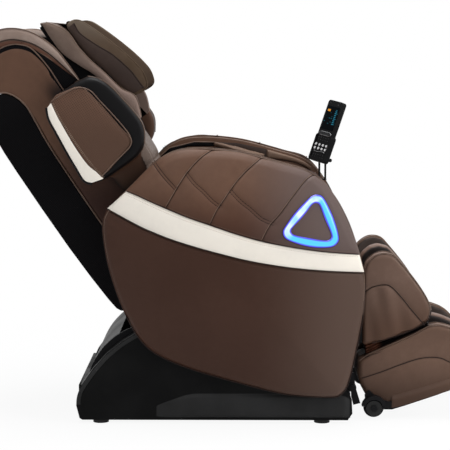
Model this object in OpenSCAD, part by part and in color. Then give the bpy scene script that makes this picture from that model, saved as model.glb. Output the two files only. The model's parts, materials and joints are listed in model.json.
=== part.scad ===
// Massage chair: steel base and seat frames, two padded arms, reclining back with a travelling
// massage carriage, lifting calf rest, sliding foot rest on wheels, and a handset on a stalk.
// +X is forward, +Y is the sitter's left, +Z is up, and the floor is at z = 0.

/* [Base] */
// Height of the rubber feet
foot_h = 14; // [10:1:20]
// Height of the base rails
rail_h = 40; // [30:1:50]
// Width of each base rail
rail_w = 40; // [30:1:45]
// Outer width of the base cover
base_w = 600; // [590:1:606]
// Wall of the plastic covers
cover_wall = 4; // [3:0.5:5]
// Rear end of the base cover
base_rear_x = -418; // [-425:1:-412]
// Front end of the base cover
base_front_x = 354; // [350:1:358]
// Height of the control box
control_h = 84; // [60:1:90]
// Height of the air pump
pump_h = 78; // [60:1:84]

/* [Seat] */
// Clear width between the arms
seat_gap = 488; // [484:1:500]
// Thickness of the seat side plates
plate_t = 8; // [6:1:9]
// Forward place of the seat tilt axle
tilt_x = -194; // [-196:1:-192]
// Height of the seat tilt axle
tilt_z = 76; // [74:1:78]
// Radius of the rear bonnet
bonnet_r = 200; // [196:1:202]
// Height of the seat pan's underside
pan_z = 336; // [334:1:340]
// Thickness of the seat pan
pan_t = 6; // [4:1:8]
// Thickness of the seat cushion at its crown
cushion_h = 112; // [90:1:116]
// Most that the seat tilts back, in degrees
tilt_range = 12; // [8:1:12]

/* [Arms] */
// Thickness of the arm core
arm_core_t = 86; // [80:1:90]
// How far the arm's side stands out at its middle
arm_bulge = 65; // [40:1:70]
// Thickness of the arm's rim outside the core
arm_rim = 5; // [4:1:8]
// Depth of the forearm channel into the core
channel_d = 77; // [60:1:78]
// Length of the forearm channel
channel_l = 300; // [240:1:320]
// Height of the forearm channel
channel_h = 140; // [115:1:143]
// Depth of the sewn channels in the arm cushion
quilt_groove = 9; // [4:1:12]
// Crown of the quilted arm cushion
quilt_crown = 9; // [4:1:12]
// Width of the light ring's band
ring_band = 21; // [14:1:24]

/* [Back] */
// Forward place of the recline axle
recline_x = -223; // [-225:1:-221]
// Height of the recline axle
recline_z = 275; // [272:1:278]
// Lean of the back from upright, in degrees
back_lean = 35; // [33:1:37]
// Most that the back folds down from rest, in degrees
recline_down = 30; // [20:1:30]
// Most that the back rises from rest, in degrees
recline_up = 6; // [4:1:6]
// Outer width of the back cover
back_w = 466; // [450:1:468]
// Width of the long back pad
pad_w = 400; // [380:1:410]
// Depth of the channels sewn across the back pad
pad_groove = 8; // [4:1:12]
// Width of the head pillow
pillow_w = 380; // [360:1:390]
// Spacing of the carriage guide rods
guide_gap = 220; // [200:1:240]
// Diameter of the carriage guide rods
guide_d = 16; // [12:1:18]
// Width of a side bolster
bolster_w = 66; // [56:1:68]
// Outer width over the shoulder wings
wing_w = 660; // [640:1:664]

/* [Leg rest] */
// Forward place of the leg lift axle
lift_x = 368; // [367:1:370]
// Height of the leg lift axle
lift_z = 418; // [416:1:420]
// Most that the leg rest lifts, in degrees
lift_range = 48; // [40:1:48]
// Slope of the leg rest below level, in degrees
leg_slope = 51.2; // [51:0.1:51.4]
// How far the foot rest slides out
extend_range = 120; // [80:1:120]
// Outer width of the calf and foot rests
leg_w = 460; // [450:1:462]
// Width of the divider between the legs
divider_w = 62; // [56:1:64]
// Diameter of the foot rest slide rods
slide_d = 14; // [10:1:14]
// Diameter of the foot wheels
wheel_d = 44; // [40:1:46]
// Width of the foot wheels
wheel_w = 16; // [12:1:16]

/* [Actuators] */
// Diameter of the actuator tubes
tube_d = 36; // [32:1:36]
// Diameter of the actuator rods
rod_d = 18; // [14:1:18]
// Diameter of the rod pins
pin_d = 12; // [10:1:12]
// Crank radius of the back actuator
back_crank = 85; // [84:1:86]
// Crank radius of the leg actuator
leg_crank = 110; // [109:1:111]
// Crank radius of the seat tilt actuator
tilt_crank = 430; // [428:1:432]

/* [Remote] */
// Width of the handset
remote_w = 66; // [64:1:72]
// Length of the handset
remote_l = 190; // [185:1:200]
// Thickness of the handset
remote_t = 16; // [14:1:18]
// Turn of the handset toward the sitter, in degrees
remote_yaw = 50; // [40:1:55]
// Lean of the handset from upright, in degrees
remote_lean = 18; // [12:1:22]
// Slant of the handset in its own plane, in degrees
remote_roll = 8; // [0:1:10]
// Diameter of the round keys
key_d = 8; // [6:1:8.5]

/* [Clearances] */
// Radial running clearance of pins and axles in their bores
run_gap = 0.05; // [0.03:0.01:0.1]
// Gap between parts that lie against each other
seat_clear = 0.3; // [0.2:0.1:0.5]

/* [Hidden] */
$fn = 48;
axle_d = 16;
fine = 0.01;
cheek_in = seat_gap / 2 - plate_t;
core_y = seat_gap / 2;
core_out = core_y + arm_core_t;
rim_y = core_out + arm_rim;
rail_z = foot_h;
rail_top = foot_h + rail_h;
rail_out = base_w / 2 - 70;
cover_y = base_w / 2;
cover_in = cover_y - 52;
outrigger = cover_y - cover_wall - seat_clear;
skirt_y = cover_y + 4;
skirt_z = 260;
skirt_rise = 40;
panel_t = 12;
back_half = back_w / 2;
leg_half = leg_w / 2;
pad_in = divider_w / 2 + 5;
sleeve_y = pad_in + 18;
slide_off = 528;
tray_t = 4;
shell_t = 5;
post_y = back_half - shell_t - seat_clear;
post_w = 28;
deck_z = rail_top;
lug_gap = 7;
lug_t = 7;
crank_half = recline_range() / 2;
leg_rod_y = -70;
tilt_rod_y = 120;
tilt_dir = 25;
channel_x0 = -185;
channel_x1 = channel_x0 + channel_l;
channel_z = 600;
channel_top = channel_z + channel_h;
stalk_x = 290.5;
stalk_y = 227.1;
stalk_d = 10;
stalk_foot = 642;
tilt_pin_x = stalk_x;
tilt_pin_y = stalk_y;
tilt_pin_z = 703;
tilt_pin_d = 6;
eye_d = 10;
leg_gap = 22;
cradle_wall = 2.5;
pin_back = remote_t / 2 + seat_clear + cradle_wall + 6;
pin_rise = 8;
screen_low = 98;
screen_high = remote_l - 18;
pill_z = 80;
pill_h = 11;
key_z = 37;
key_step = [16, 12];
leather = [0.36, 0.27, 0.22];
leather_light = [0.46, 0.36, 0.3];
leather_cream = [0.88, 0.85, 0.79];
cloth_black = [0.07, 0.07, 0.08];
plastic_dark = [0.13, 0.13, 0.14];
steel = [0.55, 0.57, 0.6];
steel_black = [0.1, 0.1, 0.11];

// ---------------------------------------------------------------- outlines, as (x, z) in mm

// Whole arm seen from the side, counter-clockwise
ARM = [[-338, 548], [-318, 430], [-262, 285], [-200, 208], [-60, 149], [150, 93], [300, 82],
    [335, 108], [356, 185], [381, 320], [384, 430], [352, 536], [300, 643], [245, 703], [150, 735],
    [30, 765], [-100, 773], [-178, 749], [-256, 677], [-322, 606]];
ARM_C = [27, 430];
// Border of the quilted cushion on the arm's top edge, and its border on the stripe
QUILT_TOP = [[-271, 658], [-225, 706], [-178, 749], [-100, 773], [-29, 770], [36, 763], [102, 748],
    [174, 728], [246, 705], [300, 643], [338, 573], [367, 492]];
QUILT_LOW = [[-271, 656], [-243, 646], [-215, 634], [-188, 623], [-161, 612], [-102, 589], [-42, 569],
    [29, 545], [100, 525], [188, 507], [276, 493], [367, 483]];
STRIPE_LOW = [[-326, 607], [-300, 594], [-272, 580], [-243, 566], [-214, 553], [-150, 529],
    [-85, 509], [-10, 489], [70, 470], [170, 453], [275, 441], [381, 432]];
QUILT_SEAMS = [4, 6, 8];
// Rest of the lower side panel, from the front end of the stripe round to its rear end
PANEL_LOW = [[384, 400], [381, 320], [369, 250], [356, 185], [346, 140], [335, 108], [320, 90],
    [300, 82], [225, 84], [150, 93], [45, 120], [-60, 149], [-140, 177], [-200, 208], [-240, 248],
    [-270, 300], [-296, 362], [-318, 430], [-331, 490], [-338, 548], [-336, 580]];
// Centre line of the light ring
RING = [[234, 634], [215, 614], [195, 592], [176, 569], [167, 555], [170, 542], [185, 533],
    [221, 523], [257, 517], [285, 517], [298, 528], [297, 544], [289, 568], [277, 598], [262, 630],
    [249, 638]];
// Base cover, counter-clockwise from its rear foot
BASE = [[-409, 16], [-401, 11], [341, 11], [354, 30], [352, 69], [341, 94], [230, 150], [0, 200],
    [-252, 255], [-287, 234], [-330, 200], [-370, 156], [-404, 108], [-415, 80], [-418, 52]];
// Back outlines in the back's own plane, as (n, u): n forward of the axle, u up the back
COVER = [[55, 60], [50, 48], [20, 52], [-14, 56], [-40, 70], [-50, 115], [-56, 300], [-52, 560],
    [-46, 657], [-34, 730], [-20, 765], [10, 768], [45, 752], [64, 726], [73, 690], [70, 640],
    [62, 560], [55, 400]];
SIDE_TOP = [[190, 745], [182, 810], [160, 840], [138, 854], [109, 861], [70, 858], [30, 838],
    [0, 808]];
SIDE = concat([[58, 110], [120, 100], [172, 112], [184, 150], [186, 420], [188, 680]], SIDE_TOP,
    [[-18, 780], [12, 773], [48, 757], [68, 730], [78, 690], [74, 640], [66, 560], [59, 380]]);
HOOD_OUT = [[232, 640], [239, 655], [240, 700], [237, 768], [222, 820], [200, 859], [170, 888],
    [136, 905], [90, 912], [40, 902], [0, 876], [-22, 842]];
HOOD_C = [100, 740];
WING = [[112, 570], [106, 500], [104, 430], [130, 402], [190, 398], [257, 400], [292, 418],
    [314, 450], [320, 482], [314, 548], [302, 615], [272, 657], [200, 664], [150, 655]];
WING_FACE = [[116, 577], [106, 500], [107, 440], [124, 415], [160, 411], [193, 417], [236, 427],
    [262, 435], [273, 455], [268, 490], [262, 550], [252, 620], [240, 649], [200, 661], [151, 661]];
// Head pillow seen from the side, as (n, u)
PILLOW = [[323, 557], [345, 540], [379, 539], [392, 560], [396, 590], [388, 640], [372, 700],
    [352, 760], [335, 800], [320, 813], [300, 813], [291.4, 800], [290.4, 770], [293, 711], [303, 670],
    [313, 628]];
// Front of the back pad, as (u, n), and how deep its rear face may come
PAD_FRONT = [[110, 200], [180, 232], [250, 264], [359, 292], [460, 297], [560, 290], [700, 286],
    [780, 290], [804, 289], [830, 274], [848, 256], [861, 238]];
PAD_REAR = [[110, 187.5], [180, 190], [260, 233], [620, 233], [660, 240.6], [772, 240.6],
    [820, 237], [861, 233]];
PAD_SEAMS = [250, 360, 470, 580, 690];
// Calf rest: a wall, the well's floor and the skin in front of the slide, as (x, z)
CALF_WALL = [[385, 300], [385, 212], [412, 214], [455, 227], [509, 246], [552, 267], [570, 281],
    [579, 307], [573, 331], [555, 364], [527, 403], [494, 443], [471, 467], [444, 474], [420, 468],
    [396, 448], [386, 420], [385, 370]];
CALF_FLOOR = [[385, 300], [385, 212], [412, 214], [440, 223], [470, 232], [496, 244], [507, 250],
    [509, 260], [502, 271], [488, 289], [466, 316], [440, 348], [416, 378], [401, 397], [393, 405],
    [388, 405], [386, 398], [385, 360]];
CALF_SKIN = [[405, 366], [440, 322], [470, 285], [480, 273], [488, 263], [494, 255], [500, 250],
    [504, 256], [498, 266], [486, 281], [466, 306], [440, 338], [416, 368], [401, 387], [397, 391],
    [393, 388], [395, 380], [398, 375]];
// Foot rest: a wall, the well's floor and the skin in front of the slide, as (x, z)
FOOT_WALL = [[372, 130], [378, 100], [397, 64], [428, 44], [462, 34], [500, 44], [565, 66],
    [630, 89], [676, 118], [702, 152], [708, 182], [688, 226], [661, 250], [630, 263], [600, 270],
    [573, 266], [520, 238], [451, 207], [401, 184], [374, 166]];
FOOT_FLOOR = [[372, 130], [378, 100], [397, 64], [428, 44], [462, 34], [500, 44], [565, 66],
    [630, 89], [676, 118], [700, 146], [704, 160], [694, 168], [668, 152], [642, 132], [620, 120],
    [604, 128], [560, 180], [518, 222], [430, 193], [374, 166]];
FOOT_SKIN = [[543, 184], [556, 168], [570, 150], [583, 134], [596, 118], [608, 102], [618, 92],
    [632, 91], [676, 118], [700, 146], [704, 160], [694, 168], [668, 152], [642, 132], [620, 120],
    [604, 128], [560, 180], [530, 217], [522, 211], [532, 198]];

// ---------------------------------------------------------------- maths

function recline_range() = recline_down + recline_up;
function mix(a, b, t) = a + (b - a) * t;
function clamp(v, low, high) = max(low, min(high, v));
function sum(v, i = 0) = i < len(v) ? v[i] + sum(v, i + 1) : v[0] * 0;
function mean(v) = sum(v) / len(v);
function dip(x, w) = exp(-pow(x / w, 2));

function spline(a, b, c, d, t) =
    0.5 * (2 * b + (c - a) * t + (2 * a - 5 * b + 4 * c - d) * t * t
    + (3 * b - a - 3 * c + d) * t * t * t);

// Smooth closed curve through the points, with `per` points for each span
function ring(pts, per) = let (n = len(pts)) [
    for (i = [0 : n - 1], k = [0 : per - 1])
        spline(pts[(i + n - 1) % n], pts[i], pts[(i + 1) % n], pts[(i + 2) % n], k / per)];

// Point at station t of the open curve through the points
function along(pts, t) = let (n = len(pts), i = clamp(floor(t), 0, n - 2))
    spline(pts[max(i - 1, 0)], pts[i], pts[i + 1], pts[min(i + 2, n - 1)], t - i);

// The points drawn in toward their middle
function shrink(pts, k) = let (c = mean(pts)) [for (p = pts) mix(c, p, k)];

function sorted(v) = len(v) < 2 ? v : let (m = v[floor(len(v) / 2)][0]) concat(
    sorted([for (e = v) if (e[0] < m) e]), [for (e = v) if (e[0] == m) e],
    sorted([for (e = v) if (e[0] > m) e]));

// ---------------------------------------------------------------- closed forms

// Skin over rings of equal length, closed at both ends
module loft(rings) {
    n = len(rings[0]);
    m = len(rings);
    sides = [for (i = [0 : m - 2], j = [0 : n - 1])
        let (a = i * n + j, b = i * n + (j + 1) % n) each [[a, b, a + n], [b, b + n, a + n]]];
    first = [for (j = [0 : n - 1]) [m * n, (j + 1) % n, j]];
    last = [for (j = [0 : n - 1]) [m * n + 1, (m - 1) * n + j, (m - 1) * n + (j + 1) % n]];
    polyhedron([each [for (r = rings) each r], mean(rings[0]), mean(rings[m - 1])],
        concat(sides, first, last));
}

// Block with a shaped front, given as a grid, and a plain back over the same border
module slab(front, back) {
    n = len(front);
    m = len(front[0]);
    rim = concat([for (i = [0 : n - 2]) [i, 0]], [for (j = [0 : m - 2]) [n - 1, j]],
        [for (i = [n - 1 : -1 : 1]) [i, m - 1]], [for (j = [m - 1 : -1 : 1]) [0, j]]);
    k = len(rim);
    rear = [for (r = rim) back[r[0]][r[1]]];
    face = [for (i = [0 : n - 2], j = [0 : m - 2]) let (a = i * m + j)
        each [[a, a + m, a + 1], [a + m, a + m + 1, a + 1]]];
    sides = [for (i = [0 : k - 1]) let (a = rim[i][0] * m + rim[i][1],
        b = rim[(i + 1) % k][0] * m + rim[(i + 1) % k][1], c = n * m + i, d = n * m + (i + 1) % k)
        each [[a, c, b], [b, c, d]]];
    rear_fan = [for (i = [0 : k - 1]) [n * m + k, n * m + (i + 1) % k, n * m + i]];
    polyhedron([each [for (r = front) each r], each rear, mean(rear)],
        concat(face, sides, rear_fan));
}

// Block between two grids over the same border
module between(front, back) {
    n = len(front);
    m = len(front[0]);
    rim = concat([for (i = [0 : n - 2]) i * m], [for (j = [0 : m - 2]) (n - 1) * m + j],
        [for (i = [n - 1 : -1 : 1]) i * m + m - 1], [for (j = [m - 1 : -1 : 1]) j]);
    k = len(rim);
    face = [for (i = [0 : n - 2], j = [0 : m - 2]) let (a = i * m + j)
        each [[a, a + m, a + 1], [a + m, a + m + 1, a + 1]]];
    sides = [for (i = [0 : k - 1]) let (a = rim[i], b = rim[(i + 1) % k])
        each [[a, a + n * m, b], [b, a + n * m, b + n * m]]];
    polyhedron([each [for (r = front) each r], each [for (r = back) each r]],
        concat(face, sides, [for (f = face) [f[2] + n * m, f[1] + n * m, f[0] + n * m]]));
}

module on_side(side) {
    if (side < 0) mirror([0, 1, 0]) children();
    if (side > 0) children();
}

// Flat shape drawn as (x, z), standing from y0 to y1
module upright(y0, y1) {
    translate([0, y1, 0]) rotate([90, 0, 0]) linear_extrude(y1 - y0) children();
}

// Round bar along Y
module bar(x, z, d, y0, y1) {
    translate([x, y1, z]) rotate([90, 0, 0]) cylinder(d = d, h = y1 - y0);
}

module block(x0, x1, y0, y1, z0, z1) {
    translate([x0, y0, z0]) cube([x1 - x0, y1 - y0, z1 - z0]);
}

// The back's own plane: x is n, z is u
module in_back() {
    translate([recline_x, 0, recline_z]) rotate([0, -back_lean, 0]) children();
}

// The slide line of the foot rest: z runs down the slide from the foot of its normal
module in_slide() {
    translate([slide_off * sin(leg_slope), 0, slide_off * cos(leg_slope)])
        rotate([0, 90 + leg_slope, 0]) children();
}

// ---------------------------------------------------------------- base

module base_rail() {
    block(-371, 330, rail_out - rail_w, rail_out, rail_z, rail_top);
}

module tilt_bracket() {
    difference() {
        block(tilt_x - 30, tilt_x + 30, rail_out - plate_t, rail_out, rail_top - 1, tilt_z + 30);
        bar(tilt_x, tilt_z, axle_d + 2 * run_gap, rail_out - 20, rail_out + 20);
    }
}

module base_frame() {
    color(steel_black) {
        union() {
            on_side(1) base_rail();
            on_side(-1) base_rail();
            for (x = [-371, 250]) block(x, x + 40, -outrigger, outrigger, rail_z, rail_top);
            block(-240, 260, -rail_out + 2, rail_out - 2, deck_z - tray_t, deck_z);
            on_side(1) tilt_bracket();
            on_side(-1) tilt_bracket();
            block(base_rear_x + 3 + cover_wall, -370, -30, 30, rail_z + 6, rail_z + 18);
            for (y = [tilt_rod_y - 32, tilt_rod_y + 25]) block(254, 290, y, y + 7, rail_top - 1, 108);
            on_side(1) front_link();
            on_side(-1) front_link();
        }
    }
}

// Hanger at the front end of a rail, past the cover's front wall
module front_link() {
    link_x = base_front_x + 3;
    upright(rail_out - plate_t, rail_out) polygon([[296, rail_top - 1], [322, rail_top - 1],
        [330, 80], [link_x - 3, 80], [link_x - 2, 62], [link_x + 4, 40], [link_x + 24, 45],
        [link_x + 12, 84], [link_x + 8, 104], [link_x + 5, 132], [link_x - 9, 132],
        [link_x - 14, 104], [312, 100]]);
    bar(link_x, 90, 24, rail_out - plate_t - 3, rail_out + 5);
    bar(link_x, 90, 13, rail_out, rail_out + 9);
}

module base_cover(side) {
    inner = [for (p = BASE) [p[0] * 0.9892 - 0.4, p[1] < 40 ? p[1] - 20 : p[1] - cover_wall]];
    color(plastic_dark) on_side(side) difference() {
        union() {
            difference() {
                upright(cover_in, cover_y) polygon(BASE);
                upright(cover_in - 1, cover_y - cover_wall) polygon(inner);
            }
            block(base_rear_x + 3, base_rear_x + 3 + cover_wall, seat_clear, cover_in + 1, 14, 100);
            block(base_rear_x + 6, base_rear_x + 18, seat_clear, cover_in + 1, 96, 100);
            block(base_front_x - 7, base_front_x - 3, seat_clear, cover_in + 1, 14, 78);
        }
        if (side < 0) block(base_rear_x - 5, base_rear_x + 12, 74, 146, 28, 62);
    }
}

module rubber_feet() {
    color(cloth_black) for (x = [-351, 270], y = [-1, 1])
        translate([x, y * (cover_y - 30), 0]) {
            cylinder(d = 38, h = foot_h);
            cylinder(d = 44, h = foot_h - 4);
        }
}

module control_box() {
    color(plastic_dark) {
        difference() {
            block(-130, 60, -150, 90, deck_z, deck_z + control_h);
            for (k = [0 : 5]) block(55, 61, -130 + 36 * k, -110 + 36 * k, deck_z + 30, deck_z + 50);
        }
        block(-134, 64, -154, 94, deck_z + control_h, deck_z + control_h + 3);
    }
}

module air_pump() {
    color(plastic_dark) {
        block(84, 190, -140, 40, deck_z, deck_z + 20);
        for (y = [-95, -5]) bar(137, deck_z + 44, 62, y - 40, y + 40);
        translate([137, -50, deck_z + 44]) cylinder(d = 40, h = pump_h - 44);
        for (y = [-64, -36]) translate([137, y, deck_z + pump_h - 4]) cylinder(d = 8, h = 18);
    }
}

inlet_y = -110;
inlet_z = 45;
inlet_l = 22.6;

module power_inlet() {
    color(cloth_black) difference() {
        union() {
            block(base_rear_x - 1, base_rear_x + 3, inlet_y - 40, inlet_y + 40, inlet_z - 21,
                inlet_z + 21);
            block(base_rear_x + 3, base_rear_x + inlet_l, inlet_y - 34.7, inlet_y + 34.7,
                inlet_z - 15.7, inlet_z + 15.7);
        }
        block(base_rear_x - 2, base_rear_x + 14, inlet_y - 5, inlet_y + 23, inlet_z - 9, inlet_z + 9);
        block(base_rear_x - 2, base_rear_x + inlet_l - 2, inlet_y - 30, inlet_y - 14, inlet_z - 12,
            inlet_z + 12);
        bar(base_rear_x + 8, inlet_z, 4 + 2 * run_gap, inlet_y - 33, inlet_y - 10);
    }
    color(steel) for (y = [-7, 0, 7]) {
        z = y == 0 ? 3 : -3;
        block(base_rear_x + 3, base_rear_x + 14, inlet_y + 9 + y - 1.5, inlet_y + 9 + y + 1.5,
            inlet_z + z - 1, inlet_z + z + 1);
    }
}

module power_switch() {
    color(cloth_black) {
        difference() {
            bar(base_rear_x + 8, inlet_z, 22, inlet_y - 29.5, inlet_y - 14.5);
            block(base_rear_x + 9, base_rear_x + 30, inlet_y - 40, inlet_y, inlet_z - 20,
                inlet_z + 20);
        }
        bar(base_rear_x + 8, inlet_z, 4, inlet_y - 32.5, inlet_y - 11);
    }
}

module tilt_axle() {
    color(steel) bar(tilt_x, tilt_z, axle_d, -core_y + 1, core_y - 1);
}

// ---------------------------------------------------------------- seat unit

// Sector of the bonnet between two angles, measured from forward
module sector(r, a0, a1) {
    step = (a1 - a0) / 4;
    intersection() {
        circle(r = r, $fn = 96);
        polygon([[0, 0], for (k = [0 : 4]) [cos(a0 + step * k), sin(a0 + step * k)] * r * 1.2]);
    }
}

module rear_bonnet() {
    color(plastic_dark) upright(-cheek_in, cheek_in) translate([tilt_x, tilt_z]) difference() {
        sector(bonnet_r, 122, 180);
        circle(r = bonnet_r - cover_wall, $fn = 96);
    }
}

module seat_plate() {
    upright(cheek_in, cheek_in + plate_t) difference() {
        union() {
            translate([tilt_x, tilt_z]) sector(bonnet_r, 100, 168);
            translate([tilt_x, tilt_z]) circle(r = 30);
            translate([recline_x, recline_z]) circle(r = 38);
            translate([lift_x, lift_z]) circle(r = 20);
            polygon([[-215, 56], [-170, 58], [0, 240], [330, 300], [386, 395], [388, 424],
                [352, 430], [300, 372], [-150, 372], [-195, 318], [-250, 302], [-262, 262]]);
        }
        translate([tilt_x, tilt_z]) circle(d = axle_d + 2 * run_gap);
        translate([recline_x, recline_z]) circle(d = axle_d + 2 * run_gap);
        translate([lift_x, lift_z]) circle(d = axle_d + 2 * run_gap);
    }
}

// Slot in a lug at radius r, turned by angle a about the pivot, for a pin on a straight rod
module lug_slot(r, half_angle, a) {
    w = pin_d + 2.6;
    far = r / cos(half_angle);
    rotate(a) round_slot(r - 0.8, far + 0.8, w);
}

module round_slot(r0, r1, w) {
    translate([0, -r0]) circle(d = w);
    translate([0, -r1]) circle(d = w);
    translate([-w / 2, -r1]) square([w, r1 - r0]);
}

module tilt_lug(y) {
    mid = tilt_dir - tilt_range / 2;
    upright(y, y + lug_t) difference() {
        translate([tilt_x, tilt_z]) difference() {
            rotate(mid) translate([tilt_crank, 0]) union() {
                circle(r = 18);
                polygon([[-18, 0], [18, 0], [44, 150], [-40, 150]]);
            }
            lug_slot(tilt_crank, tilt_range / 2, mid + 90);
        }
        translate([0, pan_z + 1]) square([500, 200]);
    }
}

module seat_frame() {
    color(steel_black) union() {
        on_side(1) seat_plate();
        on_side(-1) seat_plate();
        difference() {
            block(-140, 328, -cheek_in - 1, cheek_in + 1, pan_z, pan_z + pan_t);
            block(282, 330, leg_rod_y - 22, leg_rod_y + 22, pan_z - 1, pan_z + pan_t + 1);
        }
        for (x = [-110, 40]) bar(x, pan_z - 20, 34, -cheek_in - 1, cheek_in + 1);
        for (y = [-32, 25]) block(30, 70, y, y + 7, back_pin_z - 20, pan_z + 1);
        for (y = [tilt_rod_y - lug_gap - lug_t, tilt_rod_y + lug_gap]) tilt_lug(y);
    }
}

module recline_axle() {
    color(steel) bar(recline_x, recline_z, axle_d, -core_y + 1, core_y - 1);
}

module seat_cushion() {
    nx = 14;
    ny = 12;
    x0 = -132;
    x1 = 326;
    lip = 12;
    half = cheek_in - 3;
    base = pan_z + pan_t + seat_clear;
    crown = cushion_h - 24;
    function place(i, j, lift) = let (a = 2 * i / nx - 1, b = 1 - 2 * j / ny,
        ax = sin(90 * a), by = sin(90 * b),
        x = mix(x0, lift ? x1 : x1 - lip, (ax + 1) / 2) - 5 * ax * (1 - by * by),
        y = half * by - 5 * by * (1 - ax * ax),
        h = 24 + crown * pow(clamp((1 - pow(abs(ax), 7)) * (1 - pow(abs(by), 9)), 0, 1), 0.45)
            - 8 * dip(x - 215, 16) - 9 * dip(abs(y) - 160, 14) - 16 * (1 - ax) / 2)
        [x, y, base + (lift ? h : 0)];
    color(leather) slab([for (i = [0 : nx]) [for (j = [0 : ny]) place(i, j, true)]],
        [for (i = [0 : nx]) [for (j = [0 : ny]) place(i, j, false)]]);
}

// ---------------------------------------------------------------- arms

ARM_POLAR = sorted([for (p = ring(ARM, 4)) [atan2(p[1] - ARM_C[1], p[0] - ARM_C[0]),
    norm(p - ARM_C)]]);
ARM_TABLE = concat([ARM_POLAR[len(ARM_POLAR) - 1] - [360, 0]], ARM_POLAR, [ARM_POLAR[0] + [360, 0]]);

// How far out the arm's side stands at (x, z)
function arm_y(p) = let (d = p - ARM_C,
    r = norm(d) < 1 ? 0 : min(1, norm(d) / lookup(atan2(d[1], d[0]), ARM_TABLE)))
    rim_y + arm_bulge * (1 - pow(r, 2.6));

function at_y(p, y) = [p[0], y, p[1]];

STATIONS = [for (e = sorted([for (t = [0 : 0.5 : 11]) [t], for (s = QUILT_SEAMS, d = [-0.16, 0.16])
    [s + d]])) e[0]];

function quilt_point(t, v) = mix(along(QUILT_LOW, t), along(QUILT_TOP, t), v)
    + [-18, 0] * 4 * v * (1 - v) * (t > 2 && t < 10 ? 1 : 0);

function quilt_lift(t, v) = let (g = max([for (s = QUILT_SEAMS) dip(t - s, 0.13)]),
    smooth = clamp((t - 8) / 0.4, 0, 1))
    pow(clamp(sin(180 * v), 0, 1), 0.6) * (quilt_crown * (1 - 0.6 * smooth) - quilt_groove * g);

module arm_quilt(side) {
    rows = 7;
    function place(i, j, out) = let (v = mix(0.012, 1, j / rows), p = quilt_point(STATIONS[i], v))
        at_y(p, out ? arm_y(p) + quilt_lift(STATIONS[i], j / rows) : core_out + fine);
    color(leather) on_side(side)
        slab([for (i = [0 : len(STATIONS) - 1]) [for (j = [0 : rows]) place(i, j, true)]],
            [for (i = [0 : len(STATIONS) - 1]) [for (j = [0 : rows]) place(i, j, false)]]);
}

module arm_stripe(side) {
    rows = 3;
    function place(i, j, out) = let (t = STATIONS[i],
        p = mix(along(STRIPE_LOW, t), along(QUILT_LOW, t), mix(0.03, 1, j / rows)))
        at_y(p, out ? arm_y(p) + 3 * sin(180 * j / rows) : core_out + fine);
    color(leather_cream) on_side(side)
        slab([for (i = [0 : len(STATIONS) - 1]) [for (j = [0 : rows]) place(i, j, true)]],
            [for (i = [0 : len(STATIONS) - 1]) [for (j = [0 : rows]) place(i, j, false)]]);
}

module side_panel(side) {
    upper = [for (t = [10.5 : -0.5 : 0.5]) along(STRIPE_LOW, t) - [0, 1]];
    edge = concat([[380, 431]], upper, [[-325, 605]],
        [for (k = [len(PANEL_LOW) - 1 : -1 : 0]) PANEL_LOW[k]]);
    centre = [30, 300];
    function around(s) = [for (p = edge) mix(centre, p, s)];
    function skirt(p) = mix(skirt_y, core_out + fine, clamp((p[1] - skirt_z) / skirt_rise, 0, 1));
    function face(p) = max(arm_y(p), skirt_y + arm_rim);
    inner = [for (s = [0.2, 0.6, 0.92, 0.98])
        [for (p = around(s)) at_y(p, max(core_out + fine, skirt_y, face(p) - panel_t))]];
    rim = [[for (p = around(0.98)) at_y(p, skirt(p))], [for (p = around(1)) at_y(p, skirt(p))],
        [for (p = around(1)) at_y(p, face(p) - 2)]];
    outer = [for (s = [0.985, 0.93, 0.8, 0.6, 0.35, 0.12]) [for (p = around(s)) at_y(p, face(p))]];
    color(leather) on_side(side) loft([for (r = concat(inner, rim, outer)) turned(r)]);
}

// The same ring the other way round
function turned(r) = [for (i = [len(r) - 1 : -1 : 0]) r[i]];

module light_ring(side) {
    c = mean(RING);
    path = ring(RING, 2);
    n = len(path);
    function band(k, w, lift) = let (p = mix(c, path[k], 1 + w / norm(path[k] - c)))
        at_y(p, arm_y(p) + quilt_lift(8.8, 0.5) + lift);
    section = [[-ring_band / 2, 0.7], [-ring_band / 2 + 2, 5], [0, 6], [ring_band / 2 - 2, 5],
        [ring_band / 2, 0.7]];
    m = len(section);
    pts = [for (k = [0 : n - 1], s = section) band(k, s[0], s[1])];
    faces = [for (k = [0 : n - 1], j = [0 : m - 1]) let (a = k * m + j, b = k * m + (j + 1) % m,
        c2 = ((k + 1) % n) * m + j, d = ((k + 1) % n) * m + (j + 1) % m)
        each [[a, b, c2], [b, d, c2]]];
    color([0.35, 0.85, 0.95]) on_side(side) polyhedron(pts, faces);
}

module arm_core(side) {
    outline = [for (p = ring(ARM, 3)) let (q = mix(ARM_C, p, 0.985)) if (q[1] > 337) q];
    color(leather) on_side(side) {
        difference() {
            upright(core_y, core_out) polygon(outline);
            upright(core_y - 1, core_y + channel_d) polygon([[channel_x0, channel_z],
                [channel_x1, channel_z], [channel_x1, channel_top - 40],
                [channel_x1 - 55, channel_top - 27], [channel_x1 - 125, channel_top],
                [channel_x0 + 65, channel_top], [channel_x0, channel_top - 30]]);
        }
        if (side > 0) difference() {
            block(stalk_x - 14, stalk_x + 12, core_y - 32, core_y + 1, 590, stalk_foot - seat_clear);
            translate([stalk_x, stalk_y, 604]) cylinder(d = stalk_d + 2 * run_gap, h = 40);
        }
    }
}

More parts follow.
